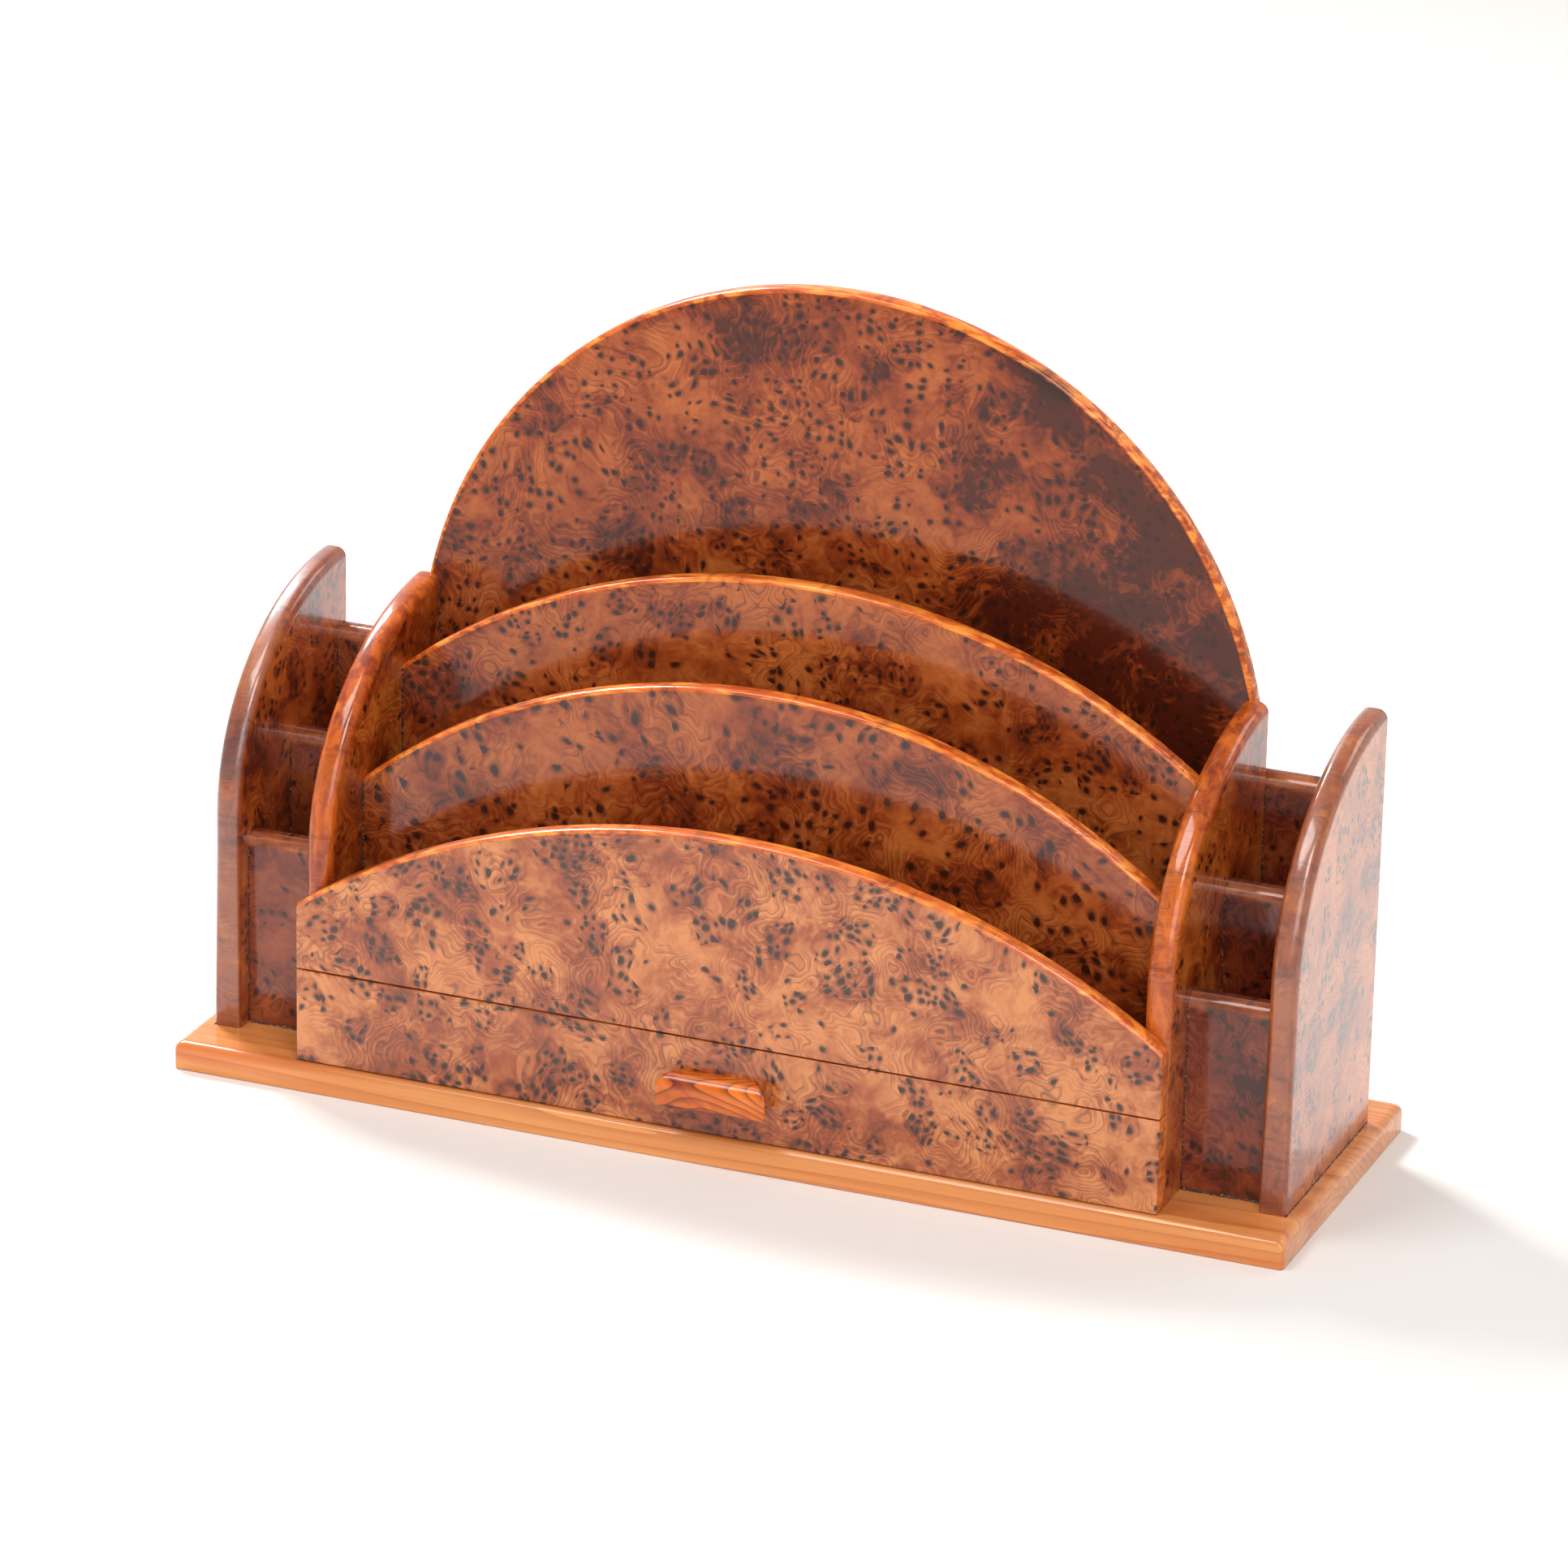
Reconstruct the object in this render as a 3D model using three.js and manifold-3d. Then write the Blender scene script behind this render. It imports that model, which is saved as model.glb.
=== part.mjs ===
// Desk organizer in thuya burl: an arched letter rack with three slots, a drawer
// under the slots, and two pen compartments at each end.
//
// Frame: millimetres, +Z up, X along the width, -Y towards the user. The origin is
// at the middle of the organizer's box, on the surface that it stands on.

import * as THREE from 'three';
import { mergeVertices } from 'three/addons/utils/BufferGeometryUtils.js';
import Module from 'manifold-3d';

// ---------------------------------------------------------------- dimensions (mm)

// Base board. The rack is placed from the middle of this board.
const BASE_WIDTH = 360;
const BASE_DEPTH = 114;
const BASE_THICKNESS = 9;
const BASE_ROUND = 2.7; // round-over along the top edges

// Boards.
const PANEL_THICKNESS = 8.6; // the four side panels
const FRONT_THICKNESS = 6.2; // front panel and drawer front
const DIVIDER_THICKNESS = 6; // the two dividers between the slots
const REAR_THICKNESS = 6.5; // back panel and rear pen walls
const WALL_THICKNESS = 7.2; // front and middle pen walls

// Planes across the depth, measured from the middle of the base board.
const FRONT_FACE_Y = -54.2; // front of the front panel
const PANEL_FRONT_Y = FRONT_FACE_Y + FRONT_THICKNESS; // inner side panels start here
const OUTER_FRONT_Y = -39.4; // outer side panels start here
const REAR_FACE_Y = 38; // back of the rack
const BACK_FRONT_Y = REAR_FACE_Y - REAR_THICKNESS; // front of the back panel
const FRONT_DIVIDER_Y = -24.5; // front of the front divider
const REAR_DIVIDER_Y = 3.9; // front of the rear divider
const FRONT_WALL_Y = -32.6; // front of the front pen walls
const MIDDLE_WALL_Y = -2.6; // front of the middle pen walls

// Planes across the width, for the right-hand side.
const INNER_OUT_X = 139.5; // outer face of the inner side panel
const INNER_IN_X = INNER_OUT_X - PANEL_THICKNESS;
const OUTER_OUT_X = 174.5; // outer face of the outer side panel
const OUTER_IN_X = OUTER_OUT_X - PANEL_THICKNESS;

// Arched tops: radius, and the height of the centre of the circle.
const FRONT_ARCH = { radius: 244, centre: -139.6 };
const FRONT_DIVIDER_ARCH = { radius: 204.4, centre: -64.3 };
const REAR_DIVIDER_ARCH = { radius: 210.3, centre: -44.7 };
const BACK_ARCH = { radius: 137.8, centre: 111.6 };

// Curved side panels: a vertical front edge that turns into a quarter ellipse.
const INNER_CURVE = { front: PANEL_FRONT_Y, start: 73.4, top: 141, rear: BACK_FRONT_Y };
const OUTER_CURVE = { front: OUTER_FRONT_Y, start: 78, top: 142, rear: REAR_FACE_Y };

// Heights of the pen walls.
const FRONT_WALL_TOP = 71.2;
const MIDDLE_WALL_TOP = 95;
const REAR_WALL_TOP = 118;

// Drawer and the slot floor above it.
const DRAWER_TOP = 39; // top of the drawer front
const DRAWER_GAP = 0.7; // gap between the drawer front and the front panel
const DRAWER_LIFT = 0.3; // running clearance over the base
const DRAWER_SIDE_PLAY = 0.5; // clearance to each inner side panel
const DRAWER_REAR_Y = 27.5; // back of the drawer box
const DRAWER_BOARD = 5; // drawer sides and back
const DRAWER_BOTTOM = 3; // drawer bottom
const DRAWER_SIDE_TOP = 36; // top of the drawer sides and back
const FRONT_PLAY = 0.2; // clearance between the drawer front and the side panels
const FLOOR_BOTTOM = 41;
const FLOOR_THICKNESS = 5;

// Drawer pull: a small bar, dovetailed in plan, wider at its front.
const PULL_REAR_WIDTH = 24;
const PULL_FRONT_WIDTH = 35.6;
const PULL_DEPTH = 7;
const PULL_BOTTOM = 19.4;
const PULL_TOP = 29;
const PULL_ROUND = 4.6;

// Screws that hold the pull from inside the drawer.
const SCREW_SPACING = 13;
const SCREW_SHANK = 2.4;
const SCREW_HEAD = 4.8;
const SCREW_HEAD_HEIGHT = 1.5;
const SCREW_LENGTH = 10.5;
const SCREW_CLEARANCE = 0.3;

// Edge rounding of the boards.
const ARCH_ROUND = 1.3; // front panel and dividers
const BACK_ROUND = 1.6; // back panel
const PANEL_ROUND = 3.2; // upper edges of the side panels
const PANEL_FOOT_ROUND = 1.3; // front edge of an outer panel at the base
const WALL_FRONT_ROUND = 4.2; // pen walls, front top edge
const WALL_REAR_ROUND = 1.2; // pen walls, rear top edge

// Facets.
const ARCH_STEPS = 36;
const CURVE_STEPS = 16;
const FRONT_EDGE_STEPS = 6;
const ROUND_STEPS = 3;

// The pull stands in front of the base, so the box's middle is a little forward.
const BOX_FRONT_Y = FRONT_FACE_Y - PULL_DEPTH;
const BOX_REAR_Y = BASE_DEPTH / 2;
const ORIGIN_Y = (BOX_FRONT_Y + BOX_REAR_Y) / 2;

// ---------------------------------------------------------------------- materials

/** Varnished wood of one colour. */
function wood(color, roughness) {
  return new THREE.MeshStandardMaterial({ color, roughness, metalness: 0 });
}

const burlWood = () => wood(0x9a4a24, 0.22);
const baseWood = () => wood(0xd98a4e, 0.3);
const drawerWood = () => wood(0xc99a6a, 0.6);

/** Zinc-plated steel, for the two screws. */
function steel() {
  return new THREE.MeshStandardMaterial({ color: 0xb9bcc0, roughness: 0.35, metalness: 1 });
}

// ----------------------------------------------------------------------- geometry

/**
 * Steps around both rounded edges of a board, from its near face to its far face.
 * depth and inset are shares of the rounding: a ring lies depth inside its face and
 * its outline is set in by inset.
 */
function roundedSteps() {
  const steps = [];
  for (let i = 0; i <= ROUND_STEPS; i += 1) {
    const angle = (i / ROUND_STEPS) * (Math.PI / 2);
    steps.push({ depth: 1 - Math.cos(angle), inset: 1 - Math.sin(angle), far: false });
  }
  return [...steps, ...steps.map((step) => ({ ...step, far: true })).reverse()];
}

/** Triangles that fill a ring, turning the same way as the ring does. */
function fillRing(ring, toPlane) {
  const outline = ring.map(toPlane);
  const turns = THREE.ShapeUtils.isClockWise(outline) ? -1 : 1;
  return THREE.ShapeUtils.triangulateShape(outline, []).map(([a, b, c]) => {
    const area = (outline[b].x - outline[a].x) * (outline[c].y - outline[a].y)
      - (outline[c].x - outline[a].x) * (outline[b].y - outline[a].y);
    return area * turns > 0 ? [a, b, c] : [a, c, b];
  });
}

/** Closed solid through rings of Vector3 that all have the same number of points. */
function loft(rings, toPlane) {
  const count = rings[0].length;
  const positions = rings.flat().flatMap((point) => [point.x, point.y, point.z]);
  const index = [];
  for (let ring = 0; ring < rings.length - 1; ring += 1) {
    for (let i = 0; i < count; i += 1) {
      const a = ring * count + i;
      const b = ring * count + ((i + 1) % count);
      index.push(a, b, b + count);
      index.push(a, b + count, a + count);
    }
  }
  const last = (rings.length - 1) * count;
  for (const [a, b, c] of fillRing(rings[0], toPlane)) {
    index.push(a, c, b);
  }
  for (const [a, b, c] of fillRing(rings.at(-1), toPlane)) {
    index.push(last + a, last + b, last + c);
  }
  const geometry = new THREE.BufferGeometry();
  geometry.setAttribute('position', new THREE.Float32BufferAttribute(positions, 3));
  geometry.setIndex(index);
  if (signedVolume(geometry) < 0) {
    flip(geometry);
  }
  geometry.computeVertexNormals();
  return geometry;
}

/** Volume inside a closed mesh, negative when its faces point inwards. */
function signedVolume(geometry) {
  const position = geometry.getAttribute('position');
  const index = geometry.getIndex().array;
  const a = new THREE.Vector3();
  const b = new THREE.Vector3();
  const c = new THREE.Vector3();
  let volume = 0;
  for (let i = 0; i < index.length; i += 3) {
    a.fromBufferAttribute(position, index[i]);
    b.fromBufferAttribute(position, index[i + 1]);
    c.fromBufferAttribute(position, index[i + 2]);
    volume += a.dot(b.cross(c)) / 6;
  }
  return volume;
}

/** Turns every face of a mesh the other way. */
function flip(geometry) {
  const index = geometry.getIndex().array;
  for (let i = 0; i < index.length; i += 3) {
    const kept = index[i];
    index[i] = index[i + 1];
    index[i + 1] = kept;
  }
}

const alongY = (point) => new THREE.Vector2(point.x, point.z);
const alongX = (point) => new THREE.Vector2(point.y, point.z);

/** Upright board across the width, with a shallow circular arch for its top. */
function archBoard({ halfWidth, frontY, thickness, bottom, arch }) {
  const rings = roundedSteps().map(({ depth, inset, far }) => {
    const inside = depth * ARCH_ROUND;
    const y = far ? frontY + thickness - inside : frontY + inside;
    const radius = arch.radius - inset * ARCH_ROUND;
    const ring = [
      new THREE.Vector3(-halfWidth, y, bottom),
      new THREE.Vector3(halfWidth, y, bottom),
    ];
    for (let i = 0; i <= ARCH_STEPS; i += 1) {
      const x = halfWidth * (1 - (2 * i) / ARCH_STEPS);
      ring.push(new THREE.Vector3(x, y, arch.centre + Math.sqrt(radius ** 2 - x ** 2)));
    }
    return ring;
  });
  return loft(rings, alongY);
}

/** Back panel: straight sides under a half circle. The rounding fades at the sides. */
function backBoard() {
  const { radius, centre } = BACK_ARCH;
  const rings = roundedSteps().map(({ depth, inset, far }) => {
    const inside = depth * BACK_ROUND;
    const y = far ? REAR_FACE_Y - inside : BACK_FRONT_Y + inside;
    const ring = [
      new THREE.Vector3(-radius, y, BASE_THICKNESS),
      new THREE.Vector3(radius, y, BASE_THICKNESS),
    ];
    for (let i = 0; i <= ARCH_STEPS; i += 1) {
      const angle = (i / ARCH_STEPS) * Math.PI;
      const fade = Math.min(1, Math.sin(angle) * 4);
      const reach = radius - inset * BACK_ROUND * fade;
      ring.push(
        new THREE.Vector3(reach * Math.cos(angle), y, centre + reach * Math.sin(angle)),
      );
    }
    return ring;
  });
  return loft(rings, alongY);
}

/**
 * Edge of a side panel from its foot to its rear top corner, in the YZ plane. It rises
 * straight and then bends back over a quarter ellipse centred at the back of the rack.
 * Each point is set in by its share of the rounding that roundAt gives for its height.
 */
function panelEdge(curve, roundAt, share) {
  const reach = REAR_FACE_Y - curve.front;
  const rise = curve.top - curve.start;
  const points = [];
  for (let i = 0; i <= FRONT_EDGE_STEPS; i += 1) {
    const z = BASE_THICKNESS + (i / FRONT_EDGE_STEPS) * (curve.start - BASE_THICKNESS);
    const round = roundAt(z);
    points.push({ y: curve.front + share * round, z, round });
  }
  const stop = Math.acos((REAR_FACE_Y - curve.rear) / reach);
  for (let i = 1; i <= CURVE_STEPS; i += 1) {
    const angle = (i / CURVE_STEPS) * stop;
    const round = roundAt(curve.start + rise * Math.sin(angle));
    const inset = share * round;
    const bent = REAR_FACE_Y - (reach - inset) * Math.cos(angle);
    const y = i === CURVE_STEPS ? curve.rear : bent;
    points.push({ y, z: curve.start + (rise - inset) * Math.sin(angle), round });
  }
  return points;
}

/** Upright side panel between two planes of X, with both long edges rounded. */
function sidePanel({ innerX, outerX, curve, roundAt }) {
  const rings = roundedSteps().map(({ depth, inset, far }) => {
    const ring = panelEdge(curve, roundAt, inset).map(({ y, z, round }) => {
      const x = far ? outerX - depth * round : innerX + depth * round;
      return new THREE.Vector3(x, y, z);
    });
    ring.push(new THREE.Vector3(ring.at(-1).x, curve.rear, BASE_THICKNESS));
    return ring;
  });
  return loft(rings, alongX);
}

/** Bar along X with one YZ outline. lowX and highX give its two ends from Y. */
function barAlongX(outline, lowX, highX) {
  const rings = [lowX, highX].map((endX) =>
    outline.map(({ y, z }) => new THREE.Vector3(endX(y), y, z)),
  );
  return loft(rings, alongX);
}

/** Quarter circle of points around a centre, from one angle to the next quarter. */
function quarter(centreY, centreZ, radius, startAngle, steps) {
  const points = [];
  for (let i = 0; i <= steps; i += 1) {
    const angle = startAngle + (i / steps) * (Math.PI / 2);
    points.push({
      y: centreY + radius * Math.cos(angle),
      z: centreZ + radius * Math.sin(angle),
    });
  }
  return points;
}

/** Pen wall between a side panel's faces, with its two top edges rounded. */
function penWall({ lowX, highX, frontY, thickness, top }) {
  const rearY = frontY + thickness;
  const outline = [
    { y: frontY, z: BASE_THICKNESS },
    { y: rearY, z: BASE_THICKNESS },
    ...quarter(rearY - WALL_REAR_ROUND, top - WALL_REAR_ROUND, WALL_REAR_ROUND, 0, 2),
    ...quarter(
      frontY + WALL_FRONT_ROUND, top - WALL_FRONT_ROUND, WALL_FRONT_ROUND, Math.PI / 2, 5,
    ),
  ];
  return barAlongX(outline, () => lowX, () => highX);
}

/** Base board: square sides, and a round-over along the four top edges. */
function baseBoard() {
  const insets = [{ z: 0, inset: 0 }];
  const steps = 4;
  for (let i = 0; i <= steps; i += 1) {
    const angle = (i / steps) * (Math.PI / 2);
    insets.push({
      z: BASE_THICKNESS - BASE_ROUND * (1 - Math.sin(angle)),
      inset: BASE_ROUND * (1 - Math.cos(angle)),
    });
  }
  const rings = insets.map(({ z, inset }) => {
    const x = BASE_WIDTH / 2 - inset;
    const y = BASE_DEPTH / 2 - inset;
    return [
      new THREE.Vector3(-x, -y, z),
      new THREE.Vector3(x, -y, z),
      new THREE.Vector3(x, y, z),
      new THREE.Vector3(-x, y, z),
    ];
  });
  return loft(rings, (point) => new THREE.Vector2(point.x, point.y));
}

/** Plain rectangular board between two corners. */
function block(low, high) {
  const size = high.map((value, axis) => value - low[axis]);
  const middle = high.map((value, axis) => (value + low[axis]) / 2);
  return new THREE.BoxGeometry(...size).translate(...middle);
}

/** The same geometry on the other side of the YZ plane. */
function mirrored(geometry) {
  const copy = geometry.clone().scale(-1, 1, 1);
  flip(copy);
  return copy;
}

// -------------------------------------------------------------------------- cuts

const wasm = await Module();
wasm.setup();

/** Geometry to a solid that can be joined and cut. */
function toSolid(geometry) {
  const bare = geometry.clone();
  bare.deleteAttribute('normal');
  bare.deleteAttribute('uv');
  const merged = mergeVertices(bare, 1e-5);
  return new wasm.Manifold(
    new wasm.Mesh({
      numProp: 3,
      vertProperties: new Float32Array(merged.getAttribute('position').array),
      triVerts: new Uint32Array(merged.getIndex().array),
    }),
  );
}

/** Solid back to a geometry. */
function toGeometry(solid) {
  const mesh = solid.getMesh();
  const geometry = new THREE.BufferGeometry();
  geometry.setAttribute('position', new THREE.BufferAttribute(mesh.vertProperties, 3));
  geometry.setIndex(new THREE.BufferAttribute(mesh.triVerts, 1));
  geometry.computeVertexNormals();
  return geometry;
}

// ------------------------------------------------------------------------- screws

/** Solid of revolution about the Y axis, from points of radius and Y. */
function turned(profile) {
  const points = profile.map(([radius, y]) => new THREE.Vector2(radius, y));
  return new THREE.LatheGeometry(points, 16);
}

const SCREW_HEIGHT = (PULL_BOTTOM + PULL_TOP) / 2;
const SCREW_HEAD_Y = FRONT_FACE_Y + FRONT_THICKNESS; // inside face of the drawer front

/** Countersunk screw outline, widened by a clearance for its hole. */
function screwProfile(clearance) {
  const shank = SCREW_SHANK / 2 + clearance;
  const head = SCREW_HEAD / 2 + clearance;
  const headY = SCREW_HEAD_Y + clearance;
  const neckY = SCREW_HEAD_Y - SCREW_HEAD_HEIGHT - clearance;
  const tipY = SCREW_HEAD_Y - SCREW_LENGTH - clearance;
  return [
    [0, tipY],
    [shank * 0.4, tipY],
    [shank, tipY + 2],
    [shank, neckY],
    [head, headY - clearance * 2],
    [head, headY],
    [0, headY],
  ];
}

/** Screw at one side of the pull's middle. */
function pullScrew(x) {
  return turned(screwProfile(0)).translate(x, 0, SCREW_HEIGHT);
}

/** Holes for both screws, as one solid. */
function screwHoles() {
  const hole = turned(screwProfile(SCREW_CLEARANCE));
  const left = toSolid(hole.clone().translate(-SCREW_SPACING / 2, 0, SCREW_HEIGHT));
  const right = toSolid(hole.clone().translate(SCREW_SPACING / 2, 0, SCREW_HEIGHT));
  return left.add(right);
}

// --------------------------------------------------------------------------- rack

const baseFrame = [['base_board', baseBoard(), baseWood()]];

/** Rounding of an outer panel's edges: slight at the foot, full where it bends. */
function outerRound(z) {
  const share = THREE.MathUtils.smoothstep(z, BASE_THICKNESS, OUTER_CURVE.start);
  return THREE.MathUtils.lerp(PANEL_FOOT_ROUND, PANEL_ROUND, share);
}

/** Rounding of an inner panel's edges: almost square behind the front panel. */
function innerRound(z) {
  return THREE.MathUtils.lerp(0.4, PANEL_ROUND, THREE.MathUtils.smoothstep(z, 52, 62));
}

const outerPanel = sidePanel({
  innerX: OUTER_IN_X, outerX: OUTER_OUT_X, curve: OUTER_CURVE, roundAt: outerRound,
});
const innerPanel = sidePanel({
  innerX: INNER_IN_X, outerX: INNER_OUT_X, curve: INNER_CURVE, roundAt: innerRound,
});

const penWalls = [
  ['front', FRONT_WALL_Y, WALL_THICKNESS, FRONT_WALL_TOP, INNER_OUT_X],
  ['middle', MIDDLE_WALL_Y, WALL_THICKNESS, MIDDLE_WALL_TOP, INNER_OUT_X],
  ['rear', BACK_FRONT_Y, REAR_THICKNESS, REAR_WALL_TOP, BACK_ARCH.radius],
].map(([place, frontY, thickness, top, lowX]) => [
  place,
  penWall({ lowX, highX: OUTER_IN_X, frontY, thickness, top }),
]);

const sidePieces = [
  ['outer_panel', outerPanel],
  ['inner_panel', innerPanel],
  ...penWalls.map(([place, wall]) => [`pen_wall_${place}`, wall]),
].flatMap(([name, geometry]) => [
  [`${name}_right`, geometry, burlWood()],
  [`${name}_left`, mirrored(geometry), burlWood()],
]);

const slotFloor = block(
  [-INNER_IN_X, PANEL_FRONT_Y, FLOOR_BOTTOM],
  [INNER_IN_X, BACK_FRONT_Y, FLOOR_BOTTOM + FLOOR_THICKNESS],
);

const frontPanel = archBoard({
  halfWidth: INNER_OUT_X,
  frontY: FRONT_FACE_Y,
  thickness: FRONT_THICKNESS,
  bottom: DRAWER_TOP + DRAWER_GAP,
  arch: FRONT_ARCH,
});

/** Divider between the inner side panels, standing on the slot floor. */
function divider(frontY, arch) {
  return archBoard({
    halfWidth: INNER_IN_X,
    frontY,
    thickness: DIVIDER_THICKNESS,
    bottom: FLOOR_BOTTOM + FLOOR_THICKNESS,
    arch,
  });
}

const slotPieces = [
  ['back_panel', backBoard(), burlWood()],
  ['rear_divider', divider(REAR_DIVIDER_Y, REAR_DIVIDER_ARCH), burlWood()],
  ['front_divider', divider(FRONT_DIVIDER_Y, FRONT_DIVIDER_ARCH), burlWood()],
  ['front_panel', frontPanel, burlWood()],
  ['slot_floor', slotFloor, drawerWood()],
];

// ------------------------------------------------------------------------- drawer

const drawerFoot = BASE_THICKNESS + DRAWER_LIFT;
const drawerHalf = INNER_IN_X - DRAWER_SIDE_PLAY; // outer faces of the drawer sides
const drawerFrontRear = PANEL_FRONT_Y - FRONT_PLAY;

/** Drawer front: a plain board with its long edges eased, and the screw holes. */
function drawerFront() {
  const board = block(
    [-INNER_OUT_X, FRONT_FACE_Y, drawerFoot],
    [INNER_OUT_X, drawerFrontRear, DRAWER_TOP],
  );
  return toGeometry(toSolid(board).subtract(screwHoles()));
}

/** Half width of the pull at a depth: it widens from the drawer to its front. */
function pullHalfWidth(y) {
  const share = (FRONT_FACE_Y - y) / PULL_DEPTH;
  return THREE.MathUtils.lerp(PULL_REAR_WIDTH, PULL_FRONT_WIDTH, share) / 2;
}

/** Drawer pull, rounded from its top to its front, with blind screw holes. */
function drawerPull() {
  const frontY = FRONT_FACE_Y - PULL_DEPTH;
  const outline = [
    { y: frontY, z: PULL_BOTTOM },
    { y: FRONT_FACE_Y, z: PULL_BOTTOM },
    { y: FRONT_FACE_Y, z: PULL_TOP },
    ...quarter(frontY + PULL_ROUND, PULL_TOP - PULL_ROUND, PULL_ROUND, Math.PI / 2, 6),
  ];
  const bar = barAlongX(outline, (y) => -pullHalfWidth(y), pullHalfWidth);
  return toGeometry(toSolid(bar).subtract(screwHoles()));
}

const sideFront = drawerFrontRear;
const drawerSide = block(
  [drawerHalf - DRAWER_BOARD, sideFront, drawerFoot],
  [drawerHalf, DRAWER_REAR_Y, DRAWER_SIDE_TOP],
);
const drawerBack = block(
  [-drawerHalf + DRAWER_BOARD, DRAWER_REAR_Y - DRAWER_BOARD, drawerFoot],
  [drawerHalf - DRAWER_BOARD, DRAWER_REAR_Y, DRAWER_SIDE_TOP],
);
const drawerBottom = block(
  [-drawerHalf + DRAWER_BOARD, sideFront, drawerFoot],
  [drawerHalf - DRAWER_BOARD, DRAWER_REAR_Y - DRAWER_BOARD, drawerFoot + DRAWER_BOTTOM],
);

const drawerPieces = [
  ['drawer_front', drawerFront(), burlWood()],
  ['drawer_pull', drawerPull(), burlWood()],
  ['drawer_side_right', drawerSide, drawerWood()],
  ['drawer_side_left', mirrored(drawerSide), drawerWood()],
  ['drawer_back', drawerBack, drawerWood()],
  ['drawer_bottom', drawerBottom, drawerWood()],
  ['pull_screw_right', pullScrew(SCREW_SPACING / 2), steel()],
  ['pull_screw_left', pullScrew(-SCREW_SPACING / 2), steel()],
];

// ------------------------------------------------------------------------ assembly

const organizer = new THREE.Group();
organizer.position.y = -ORIGIN_Y;

for (const [name, geometry, material] of [
  ...baseFrame, ...sidePieces, ...slotPieces, ...drawerPieces,
]) {
  const mesh = new THREE.Mesh(geometry, material);
  mesh.name = name;
  organizer.add(mesh);
}

export default organizer;
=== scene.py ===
"""Desk organizer in varnished thuya burl, standing on a pale studio floor.

The rack's boards, its drawer and the fine things between them are each worked out as
a surface in metres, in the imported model's frame. Wood grain and burl eyes are solid
patterns, so the figure runs through a board and comes out on its edges.
"""

from __future__ import annotations

import logging
import math
from dataclasses import dataclass, field
from enum import Enum
from typing import Any, Optional, Sequence

import bpy
import numpy as np
from mathutils import Matrix, Vector


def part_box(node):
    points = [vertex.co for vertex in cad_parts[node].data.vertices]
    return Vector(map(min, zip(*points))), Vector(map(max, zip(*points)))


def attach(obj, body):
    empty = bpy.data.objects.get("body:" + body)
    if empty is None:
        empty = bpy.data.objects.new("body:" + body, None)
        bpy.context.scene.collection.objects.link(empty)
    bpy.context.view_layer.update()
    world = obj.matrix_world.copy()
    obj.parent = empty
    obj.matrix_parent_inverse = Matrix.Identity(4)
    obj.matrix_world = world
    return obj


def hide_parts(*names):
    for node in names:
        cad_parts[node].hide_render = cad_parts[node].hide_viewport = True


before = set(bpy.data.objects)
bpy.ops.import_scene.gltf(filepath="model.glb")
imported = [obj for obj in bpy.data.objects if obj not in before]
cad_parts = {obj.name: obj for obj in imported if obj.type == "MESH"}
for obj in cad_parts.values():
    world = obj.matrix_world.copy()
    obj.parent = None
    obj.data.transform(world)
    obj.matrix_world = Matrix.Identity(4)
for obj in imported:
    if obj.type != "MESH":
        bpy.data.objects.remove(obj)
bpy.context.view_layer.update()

Socket = bpy.types.NodeSocket
Material = bpy.types.Material
Object = bpy.types.Object

LOG = logging.getLogger("desk_organizer")

MM = 0.001
RACK = "rack"
DRAWER = "drawer"
VARNISH_IOR = 1.5
END_STEPS = 3
FRONT_DIVIDER_RADIUS = 204.4 * MM
REAR_DIVIDER_RADIUS = 210.3 * MM
PLACES = ("front", "middle", "rear")


# ---- colours


def linear(hex_colour: str) -> tuple[float, float, float, float]:
    """Turns an sRGB hex colour into a linear one.

    Args:
        hex_colour: Six hex digits, with or without a leading hash.

    Returns:
        Linear red, green and blue, and an alpha of 1.
    """
    digits = hex_colour.lstrip("#")
    values = np.array([int(digits[i:i + 2], 16) for i in (0, 2, 4)]) / 255.0
    low = values / 12.92
    high = ((values + 0.055) / 1.055) ** 2.4
    red, green, blue = np.where(values <= 0.04045, low, high)
    return float(red), float(green), float(blue), 1.0


# ---- node helper


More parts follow.
